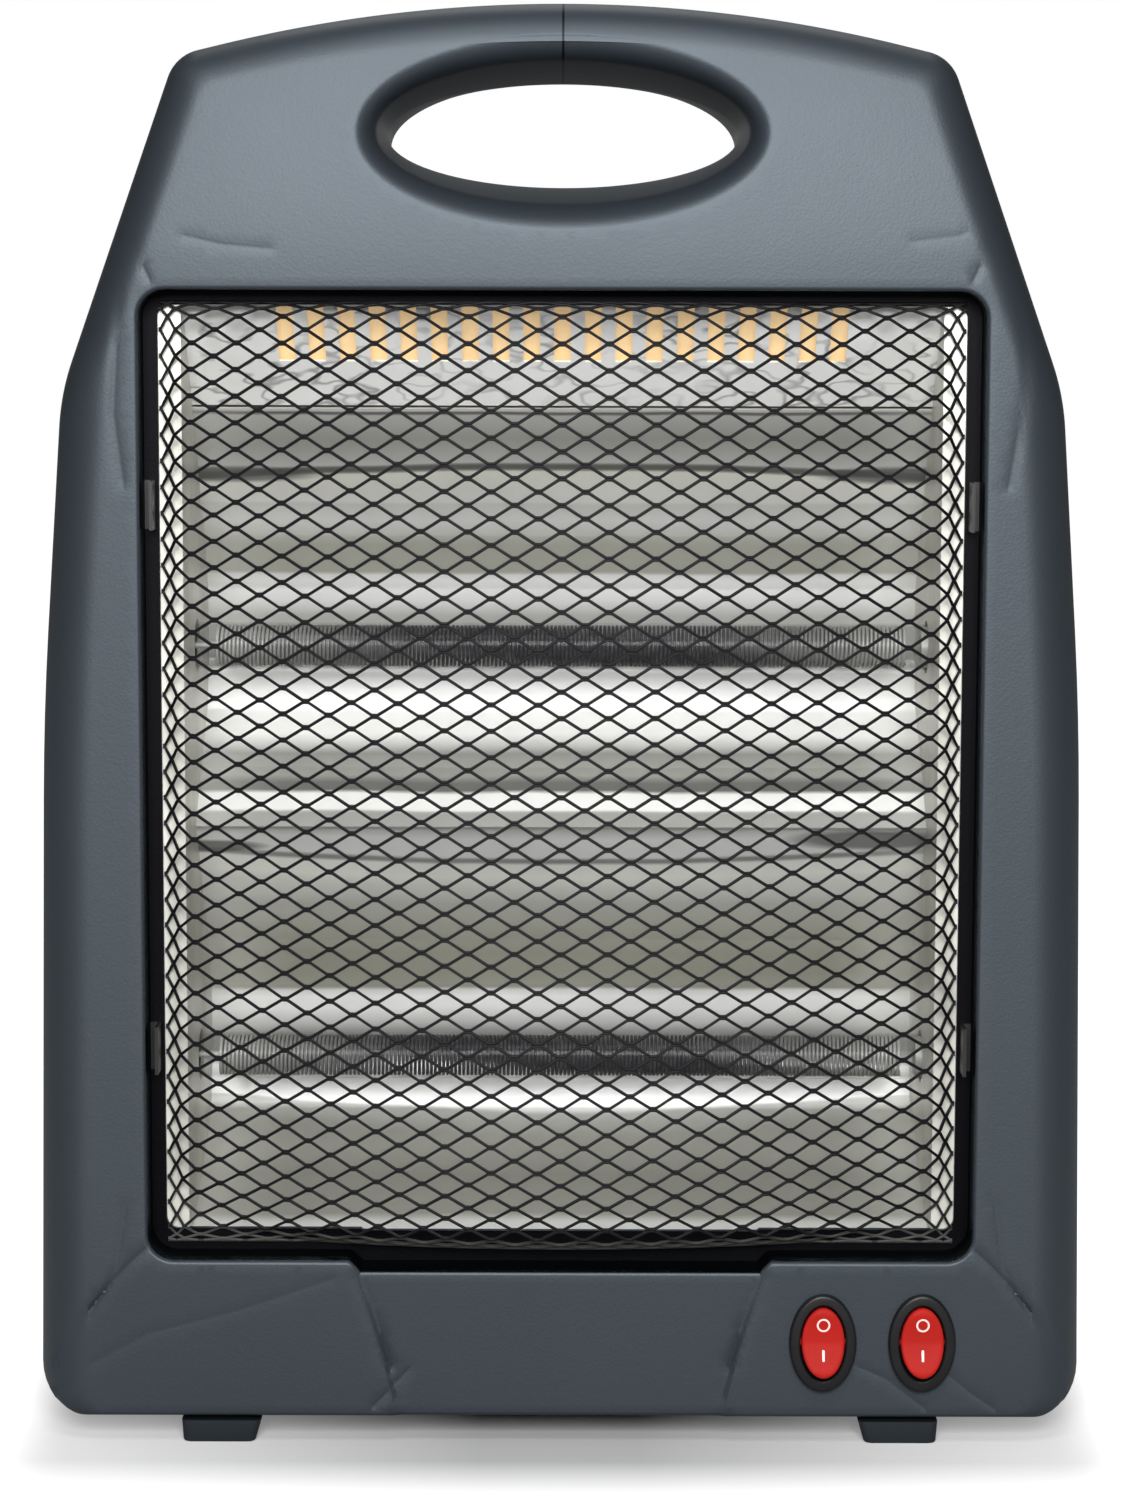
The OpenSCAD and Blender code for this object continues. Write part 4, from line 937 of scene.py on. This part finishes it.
lower_reflection_bands = [
    (50.5, 0.78, 0.76), (52.3, 0.76, 0.73), (53.6, 0.34, 0.30), (60, 0.24, 0.21),
    (66.5, 0.29, 0.26), (70.8, 0.50, 0.48), (71.3, 0.96, 0.95), (76.5, 0.97, 0.96),
    (82.6, 0.90, 0.89), (83.4, 0.20, 0.19),
    (91.4, 0.24, 0.23), (94, 0.50, 0.49), (98, 0.80, 0.79), (101, 0.84, 0.83),
    (102.8, 0.66, 0.64), (103.6, 0.29, 0.25), (108, 0.25, 0.21), (114, 0.26, 0.22),
    (122, 0.38, 0.33), (129, 0.50, 0.47), (133.5, 0.72, 0.68), (136.5, 0.86, 0.80),
    (140.4, 0.80, 0.76), (141.2, 0.24, 0.23), (142, 0.26, 0.25), (142.6, 0.70, 0.69),
    (148, 0.70, 0.69), (151.5, 0.40, 0.39)]
upper_bends = [(243, 9, 0.32)]
lower_bends = [(71, 8, -0.55), (142, 10, -0.4)]
upper_dark_reflections = [(-84, 241, 24, 2.4), (86, 241, 22, 2.6)]
lower_dark_reflections = [(80, 148.2, 25, 3.3), (-90, 146, 16, 2.0)]
for name, path, tube_z, *bands in (
        ("reflector_upper", trough, upper_tube_z, upper_reflection_bands, upper_bends, upper_dark_reflections),
        ("reflector_lower", apron, lower_tube_z, lower_reflection_bands, lower_bends, lower_dark_reflections)):
    path = path + np.array([0, tube_z])
    finish = aluminium(name + "_finish", *bands)
    sheet = folded(name + "_sheet", eased(path, 2.5), sheet_half, sheet_t)
    placed(name + "_sheet", sheet, finish, name)


def coat(finish, *names):
    """Gives pieces that keep their solid's shape their finish."""
    for name in names:
        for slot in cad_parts[name].material_slots:
            slot.material = finish.material


panel_tones = [(255, 0.88, 0.86), (262, 0.96, 0.94), (290, 0.97, 0.96)]
panel_finish = aluminium("top_panel_finish", panel_tones, metallic=0.1, roughness=0.36)
# Thin dark wavy lines on the panel are painted reflections of the guard's strands.
guard_reflection_lines = panel_finish.noise(150, 1.5, (0.55, 1, 1))
guard_reflection_lines = (1 - abs(guard_reflection_lines - 0.5)*22).clamped()*((panel_finish.noise(40, 1.0) - 0.35)*4).clamped()
panel_finish.set("Base Color", panel_finish.mixed(guard_reflection_lines*0.7, panel_finish.tone, (0.16, 0.17, 0.17, 1)))
coat(panel_finish, "reflector_top")
# The mica's faint emission is a painted glow: it lifts the sheet, which lies in shade behind the slots.
mica = Finish("mica", (0.88, 0.67, 0.38), Roughness=0.5, Emission_Strength=0.26)
mica.set("Emission Color", (0.95, 0.70, 0.42, 1))
mica.mottle(60, 0.10, (1, 1, 3))
coat(mica, "mica_sheet")
yellow_zinc = Finish("yellow passivated steel", (0.62, 0.61, 0.55), Metallic=0.3, Roughness=0.36)
yellow_zinc.mottle(40, 0.25)
(plate_x, plate_front, plate_z0), (flange_out, plate_back, plate_z1) = box_mm("side_plate_right")
tube_y, hole_r, plate_t = 2.0, 6.8, 0.8
rim_spacing, patch_spacing = 3, 6
front_edge = along_path([(plate_front, plate_z1), (plate_front, plate_z0)], rim_spacing)
plate_rim = along_path([(plate_front, plate_z0), (plate_back - plate_t, plate_z0 + 11),
                        (plate_back - plate_t, plate_z1 - 20), (plate_back - 16, plate_z1),
                        (plate_front, plate_z1)], rim_spacing)[:-1] + front_edge[:-1]
plate_holes = [ellipse(tube_y, z, hole_r, hole_r, 40) for z in (upper_tube_z, lower_tube_z)]
flange_rim = [(plate_x, z) for _, z in front_edge][:-1]
flange_rim += along_path([(plate_x, plate_z0), (flange_out, plate_z0 + 3), (flange_out, plate_z1 - 16),
                          (plate_x + 6, plate_z1 - 8), (plate_x + 6, plate_z1), (plate_x, plate_z1)],
                         rim_spacing)[:-1]
plate_points, plate_faces = face_patch(np.array(plate_rim), plate_holes, patch_spacing)
flange_points, flange_faces = face_patch(np.array(flange_rim), [], patch_spacing)
for side, name in ((-1, "left"), (1, "right")):
    sheet = together(([(side*plate_x, y, z) for y, z in plate_points], plate_faces),
                     ([(side*x, plate_front, z) for x, z in flange_points], flange_faces))
    sheet = with_wall(skin("side_plate", *sheet, flip=True), plate_t)
    placed(f"side_plate_{name}_folded", sheet, yellow_zinc, f"side_plate_{name}")
galvanized = Finish("galvanized steel", (0.42, 0.43, 0.44), Metallic=0.85, Roughness=0.42)
galvanized.mottle(70, 0.18)
coat(galvanized, "heat_shield", "bracket_upper_left", "bracket_upper_right",
     "bracket_lower_left", "bracket_lower_right")
dark_clip = Finish("black spring steel", (0.012, 0.012, 0.013), Roughness=0.4, Metallic=0.3)
dark_clip.mottle(90, 0.2)
coat(dark_clip, "guard_clips")

# ---- Heating tubes --------------------------------------------------------------------------
# A coil of resistance wire lies along each clear quartz tube. A ceramic cap slides over each
# end, with a brass pin through it for the lead.


def turned(profile, place, axis="x", count=48):
    """Points and faces of a round piece from its profile: places along its axis, and radii."""
    rings = []
    for along, radius in profile:
        across, up = ellipse(0, 0, radius, radius, count).T
        ring = [across, up]
        ring.insert("xyz".index(axis), np.full(count, along))
        rings.append(np.stack(ring, axis=1) + np.asarray(place))
    return loft(rings)


def helix(graph, _, given):
    inputs = {"Resolution": 14, "Rotations": given["Turns"], "Start Radius": given["Radius"],
              "End Radius": given["Radius"], "Height": given["Length"]}
    curve = graph.node("GeometryNodeCurveSpiral", inputs)
    made = round_wire(graph, curve, given["Wire radius"], 5)
    offset = graph.node("ShaderNodeCombineXYZ", {
        "X": given["Length"]*-0.5, "Y": given["Tube depth"], "Z": given["Tube height"]})
    inputs = {"Geometry": made, "Translation": offset, "Rotation": (0, math.radians(90), 0)}
    return graph.node("GeometryNodeTransform", inputs)


quartz = Finish("quartz", (0.10, 0.10, 0.11), Roughness=0.12, Alpha=0.10, Specular_IOR_Level=0.35)
quartz.mottle(40, 0.05, (0.2, 1, 1))
wire = Finish("resistance wire", (0.030, 0.028, 0.027), Metallic=0.3, Roughness=0.5)
# The wire is lighter towards its ends, and bright specks on it are painted glints.
towards_end = ((abs(wire.axes()[0]) - 0.035)/0.050).clamped().math("POWER", 1.4)
glints = (wire.noise(420, 2.0) - 0.46).math("MULTIPLY", 6.0).clamped()
wire_with_glints = wire.mixed(glints*0.5, (0.018, 0.018, 0.019, 1), (0.09, 0.09, 0.09, 1))
wire.set("Base Color", wire.mixed(towards_end, wire_with_glints, (0.50, 0.50, 0.47, 1)))
ceramic = Finish("steatite", (0.70, 0.68, 0.61), Roughness=0.6)
ceramic.mottle(120, 0.06)
ceramic.bump(ceramic.noise(700), 0.1, 0.0002)
brass = Finish("brass", (0.62, 0.45, 0.18), Metallic=1.0, Roughness=0.3)
brass.mottle(150, 0.12)
for name, tube_z in (("upper", upper_tube_z), ("lower", lower_tube_z)):
    half = box_mm(f"quartz_tube_{name}")[1][0]
    profile = [(-half, 5.5), (-half + 0.3, 5.8), (-half + 0.6, 6), (half - 0.6, 6),
               (half - 0.3, 5.8), (half, 5.5), (-half, 5.5)]
    tube = skin("tube", *turned(profile, (0, tube_y, tube_z), "x", 64))
    placed(f"quartz_tube_{name}_glass", tube, quartz, f"quartz_tube_{name}")
    coil_sizes = {"Turns": 168.0, "Radius": 5.0, "Length": 176.0, "Wire radius": 0.42,
                  "Tube depth": tube_y, "Tube height": float(tube_z)}
    coil = grown(f"coil_{name}_turns", [(0, 0, 0)], coil_sizes, helix, wire)
    placed(f"coil_{name}_turns", coil, wire)
    lead_end = box_mm(f"coil_{name}")[1][0]
    leads = []
    for side, crimp in ((-1, [(87.4, 5.2), (88.0, 5.3)]),
                        (1, [(91.6, 5.0), (93.6, 5.3), (94.2, 3.4), (95.2, 3.4), (95.4, 5.3), (96.8, 5.0)])):
        lead = [(crimp[0][0], 0), *crimp, (crimp[-1][0] + 0.2, 0.8), (lead_end, 0.8), (lead_end, 0)]
        leads.append(turned([(side*a, r) for a, r in lead], (0, tube_y, tube_z), "x", 24))
    placed(f"coil_{name}_leads", skin("leads", *together(*leads)), wire, f"coil_{name}")
    for side, side_name in ((-1, "left"), (1, "right")):
        low, high = box_mm(f"cap_{name}_{side_name}")
        start, end = sorted((abs(low[0]), abs(high[0])))
        profile = [(start, 6.2), (start, 8.1), (start + 0.4, 8.5), (start + 8.2, 8.5),
                   (start + 8.6, 7.9), (start + 9.6, 7.9), (start + 10, 8.5), (end - 1, 8.5),
                   (end, 7.4), (end, 1.4), (start + 6.4, 1.4), (start + 6.4, 6.2), (start, 6.2)]
        cap = skin("cap", *turned([(side*a, r) for a, r in profile], (0, tube_y, tube_z)))
        placed(f"cap_{name}_{side_name}_turned", cap, ceramic, f"cap_{name}_{side_name}")
coat(brass, "tube_terminals", "switch_terminals_left", "switch_terminals_right",
     "tilt_contacts", "terminal_screws", "earth_tag")

# ---- Switches -------------------------------------------------------------------------------
# Two snap-in rocker switches: a black nylon body with an oval bezel, and a satin red rocker,
# dished in the middle, with a white ring for off and a white bar for on.

(_, bezel_front, _), (_, body_back, _) = box_mm("switch_body_left")
pivot_y = face_y + 1
rocker_rest = math.radians(8)
rocker_a, rocker_b = 5.35, 8.75
rocker_tip, rocker_valley = bezel_front - 1.9, bezel_front - 0.6
dish_reach, dish_power = 0.82, 1.35
edge_from, edge_drop = 0.88, 0.75
nylon = Finish("black nylon", (0.008, 0.008, 0.009), Roughness=0.40, Specular_IOR_Level=0.25)
nylon.mottle(200, 0.2)
nylon.bump(nylon.noise(1500), 0.08, 0.0003)
red = Finish("red plastic", (0.38, 0.014, 0.010), Roughness=0.55, Specular_IOR_Level=0.08)
red.mottle(90, 0.08)
ink = Finish("white ink", (0.80, 0.62, 0.60), Roughness=0.5)
ink.mottle(600, 0.06)


def rocker_front(z):
    """The depth of the rocker's front, in its middle position, at heights on it."""
    rise = np.minimum(np.abs(z)/(rocker_b*dish_reach), 1)**dish_power
    return rocker_valley + (rocker_tip - rocker_valley)*rise


def tilted(points, x0):
    """Points of a rocker in its middle position, turned to rest and put in place."""
    points = np.asarray(points, float)
    y, z = points[:, 1] - pivot_y, points[:, 2]
    c, s = math.cos(rocker_rest), math.sin(rocker_rest)
    return np.stack([points[:, 0] + x0, pivot_y + y*c + z*s, switch_z - y*s + z*c], axis=1)


def oval(a, b, y):
    return standing(ellipse(0, 0, a, b, 64), y)


def raised(loops):
    """A thin mark on a rocker's front between loops of x and z, closed all round."""
    return [standing(loop, rocker_front(loop[:, 1]) - lift) for lift, loop in loops]


for x0, name in zip(switch_xs, ("left", "right")):
    a, b = bezel_a, bezel_b
    stations = [(a - 1.5, b - 1.5, face_y + 9), (a - 1.5, b - 1.5, face_y + 1.8), (a, b, face_y + 1.8),
                (a, b, bezel_front + 0.7), (a - 0.12, b - 0.12, bezel_front + 0.35),
                (a - 0.4, b - 0.4, bezel_front + 0.1), (a - 0.8, b - 0.8, bezel_front),
                (rocker_a + 0.75, b - 2.4, bezel_front),
                (rocker_a + 0.45, rocker_b + 0.95, bezel_front + 0.2),
                (rocker_a + 0.3, rocker_b + 0.8, bezel_front + 0.6),
                (rocker_a + 0.3, rocker_b + 0.8, face_y + 6)]
    rings = [oval(sa, sb, y) + np.array([x0, 0, switch_z]) for sa, sb, y in stations]
    half_x, half_z = (a - 1.5)*0.8, (b - 1.5)*0.7
    square = rounded(np.array([(half_x, half_z), (-half_x, half_z), (-half_x, -half_z), (half_x, -half_z)]),
                     [1.2]*4, [6]*4, [4]*4)
    box_rings = [standing(square*share + np.array([x0, switch_z]), y)
                 for share, y in ((1, face_y + 8.5), (1, body_back - 0.5), (0.94, body_back))]
    body = skin("switch", *together(loft(rings, caps=True), loft(box_rings, caps=True)))
    placed(f"switch_body_{name}_moulded", body, nylon, f"switch_body_{name}")
    rings = [oval(rocker_a*0.7, rocker_b*0.7, pivot_y + 3.4), oval(rocker_a, rocker_b, pivot_y + 0.5)]
    for share in (1, 0.995, 0.975, 0.94, 0.88, 0.8, 0.7, 0.6, 0.5, 0.4, 0.3, 0.2, 0.1, 0.03):
        ring = oval(rocker_a*share, rocker_b*share, 0)
        over = max(0, (share - edge_from)/(1 - edge_from))
        ring[:, 1] = rocker_front(ring[:, 2]) + edge_drop*(1 - math.sqrt(1 - over**2))
        rings.append(ring)
    points, faces = loft(rings, caps=True)
    pin = [(-6.6, 0), (-6.6, 0.8), (-6.4, 1), (6.4, 1), (6.6, 0.8), (6.6, 0)]
    pin = turned(pin, (0, pivot_y, 0), "x", 24)
    points, faces = together((points, faces), pin)
    body = f"rocker_{name}"
    placed(body + "_moulded", skin("rocker", tilted(points, x0), faces, 40), red, body, body)
    wide, thin = [ellipse(0, 4.5, r, r, 40) for r in (1.68, 1.22)]
    ring = raised([(-0.25, wide), (0.05, wide), (0.05, thin), (-0.25, thin), (-0.25, wide)])
    bar_loop = stadium(0, 0, 2.9, 0.62, 6)[:, ::-1] + np.array([0, -3.1])
    bar = raised([(-0.25, bar_loop), (0.05, bar_loop)])
    points, faces = together(loft(ring), loft(bar, caps=True))
    placed(body + "_signs", skin("signs", tilted(points, x0), faces, 40), ink, body=body)

# ---- Feet -----------------------------------------------------------------------------------
# Two black polypropylene runners under the base, each moulded in one piece, wider on top, and
# held by two screws that are sunk into it from below.

foot_finish = housing_plastic("foot plastic", (0.013, 0.016, 0.020))
foot_finish.set("Base Color", foot_finish.tone)
foot_finish.set("Specular IOR Level", 0.3)
foot_x, foot_ys = 85, (-20, 30)
foot_sink, foot_hole, sink_depth = 3.4, 1.7, 4
inner_flare, outer_flare, foot_corner = 1.6, 0.4, 1.6


def foot_ring(sizes, z, inset):
    """A runner's outline at a height, drawn in all round."""
    inner, outer, y0, y1, top = sizes
    share = z/top
    xa, xb = inner + inner_flare*(1 - share) + inset, outer - outer_flare*(1 - share) - inset
    corners = np.array([(xa, y0 + inset), (xb, y0 + inset), (xb, y1 - inset), (xa, y1 - inset)])
    return rounded(corners, [foot_corner]*4, [5]*4, [8, 24, 8, 24])


for side, name in ((-1, "left"), (1, "right")):
    (x0, y0, _), (x1, y1, top) = box_mm(f"foot_{name}")
    inner, outer = sorted((abs(x0), abs(x1)))
    sizes = inner, outer, y0, y1, top
    holes = [ellipse(foot_x, y, foot_sink, foot_sink, 32) for y in foot_ys]
    narrow = [ellipse(foot_x, y, foot_hole, foot_hole, 32) for y in foot_ys]
    bottom, bottom_faces = face_patch(foot_ring(sizes, 0, 0.6), holes, 3)
    upper, upper_faces = face_patch(foot_ring(sizes, top, 0), narrow, 3)
    parts = [([(x, y, 0) for x, y in bottom], bottom_faces), ([(x, y, top) for x, y in upper], upper_faces)]
    parts.append(loft([[(x, y, z) for x, y in foot_ring(sizes, z, inset)]
                       for z, inset in ((0, 0.6), (0.2, 0.2), (0.6, 0), (top, 0))]))
    for wide, thin in zip(holes, narrow):
        parts.append(loft([[(x, y, z) for x, y in ring]
                           for ring, z in ((wide, 0), (wide, sink_depth), (thin, sink_depth), (thin, top))]))
    points, faces = together(*parts)
    points = [(side*x, y, z) for x, y, z in points]
    placed(f"foot_{name}_moulded", skin("foot", points, faces), foot_finish, f"foot_{name}")

# ---- Screws ---------------------------------------------------------------------------------
# Thread-forming steel screws with pan heads and a cross recess, zinc plated. Long ones join the
# covers, short ones hold the reflector box, and those of the feet stand head down.


def lifted(graph, shape, height):
    up = graph.node("ShaderNodeCombineXYZ", {"Z": height})
    return graph.node("GeometryNodeTransform", {"Geometry": shape, "Translation": up})


def cross_screws(graph, points, given):
    radius, height = given["Head radius"], given["Head height"]
    shank = {"Vertices": 20, "Radius": given["Shank radius"], "Depth": given["Shank length"]}
    shank = graph.node("GeometryNodeMeshCylinder", shank)
    shank = lifted(graph, shank, given["Shank length"]*-0.5 + 0.1)
    crown = {"Vertices": 36, "Side Segments": 1, "Radius Top": radius*0.72,
             "Radius Bottom": radius, "Depth": height*0.45}
    crown = lifted(graph, graph.node("GeometryNodeMeshCone", crown), height*0.55)
    rim = {"Vertices": 36, "Radius": radius, "Depth": height*0.55}
    rim = lifted(graph, graph.node("GeometryNodeMeshCylinder", rim), height*0.275)
    bars = []
    for long_side in ("X", "Y"):
        sides = {"X": radius*1.1*0.2, "Y": radius*1.1*0.2, "Z": height*1.1}
        sides[long_side] = radius*1.1
        bar = {"Size": graph.node("ShaderNodeCombineXYZ", sides)}
        bars.append(lifted(graph, graph.node("GeometryNodeMeshCube", bar), height*1.05))
    head = graph.node("GeometryNodeMeshBoolean", {"Mesh 2": [crown, rim]}, operation="UNION")
    inputs = {"Mesh 1": head, "Mesh 2": bars}
    head = graph.node("GeometryNodeMeshBoolean", inputs, operation="DIFFERENCE")
    screw = graph.node("GeometryNodeJoinGeometry", {"Geometry": [shank, head]})
    turn = {"X": given["Turn about X"], "Y": given["Turn about Y"]}
    turn = graph.node("ShaderNodeCombineXYZ", turn)
    inputs = {"Points": points, "Instance": screw, "Rotation": turn}
    return graph.node("GeometryNodeInstanceOnPoints", inputs)


zinc = Finish("zinc plate", (0.55, 0.56, 0.58), Metallic=1.0, Roughness=0.32)
zinc.mottle(160, 0.12)
(_, _, z0), (_, y1, z1) = box_mm("frame_screws")
frame_seat = y1 - 2
frame_zs = (z0 + 3, z1 - 3)
towards_back, towards_floor = -math.pi/2, math.pi
screw_sets = {
    "housing_screws": ([(x, well_floor, z) for x, z in screw_places], 24.0, towards_back),
    "frame_screws": ([(x, frame_seat, z) for x in (-108, 108) for z in frame_zs], 9.0, towards_back),
    "foot_screws": ([(x, y, sink_depth) for x in (-foot_x, foot_x) for y in foot_ys], 10.0, towards_floor)}
for name, (places, length, turn) in screw_sets.items():
    sizes = {"Shank radius": 1.45, "Shank length": length, "Head radius": 3.0, "Head height": 2.0,
             "Turn about X": turn, "Turn about Y": 0.0}
    screws = grown(name + "_crossed", places, sizes, cross_screws, zinc)
    placed(name + "_crossed", screws, zinc, name)
coat(zinc, "shield_screws")

# ---- Base and lead entry --------------------------------------------------------------------
# The tip-over switch: a nylon plunger under the floor, pushed out by a spring in its body. At
# the back, a rubber bush for the mains lead, and inside the terminal block and the wires.

(x0, y0, _), (x1, y1, plunger_top) = box_mm("tilt_plunger")
profile = [(0, 0), (0, 2.7), (0.3, 3.2), (0.8, 3.5), (plunger_top - 3.5, 3.5), (plunger_top - 3.5, 5.5),
           (plunger_top - 2, 5.5), (plunger_top - 2, 3.5), (plunger_top - 0.4, 3.5), (plunger_top, 3.1),
           (plunger_top, 0)]
plunger_place = ((x0 + x1)/2, (y0 + y1)/2, 0)
plunger = skin("plunger", *turned(profile, plunger_place, "z"))
placed("tilt_plunger_turned", plunger, nylon, "tilt_plunger", "tilt_plunger")
(_, y0, _), (_, y1, _) = box_mm("cord_bush")
profile = [(y0, 3.7), (y0, 6.0), (y0 + 0.4, 6.4), (y1 - 6.1, 6.4), (y1 - 6.1, 7.6), (y1 - 4.6, 7.6),
           (y1 - 4.6, 6.4), (y1 - 2, 6.4), (y1 - 2, 8.4), (y1 - 0.8, 8.4), (y1 - 0.2, 7.9),
           (y1, 7.2), (y1, 4.4), (y1 - 0.3, 3.9), (y1 - 0.9, 3.7), (y0, 3.7)]
bush = skin("bush", *turned(profile, (bush_place[0], 0, bush_place[1]), "y"))
rubber = Finish("rubber", (0.014, 0.014, 0.015), Roughness=0.7)
rubber.mottle(140, 0.25)
rubber.bump(rubber.noise(800), 0.2, 0.0004)
placed("cord_bush_turned", bush, rubber, "cord_bush")
white_nylon = Finish("white nylon", (0.66, 0.66, 0.62), Roughness=0.45)
white_nylon.mottle(90, 0.05)
coat(white_nylon, "tilt_body", "terminal_block")
spring_steel = Finish("spring steel", (0.50, 0.50, 0.51), Metallic=1.0, Roughness=0.28)
spring_steel.mottle(300, 0.2)
coat(spring_steel, "tilt_spring")
for name, color, nodes in (
        ("brown", (0.13, 0.055, 0.028), ["wire_supply"]),
        ("red", (0.42, 0.025, 0.022), ["wire_switches", "wire_lower_tube", "wire_upper_tube"]),
        ("blue", (0.02, 0.06, 0.30), ["wire_neutral"]),
        ("green and yellow", (0.14, 0.33, 0.05), ["wire_earth"])):
    insulation = Finish(f"{name} insulation", color, Roughness=0.5)
    insulation.mottle(200, 0.1)
    coat(insulation, *nodes)

low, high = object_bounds()
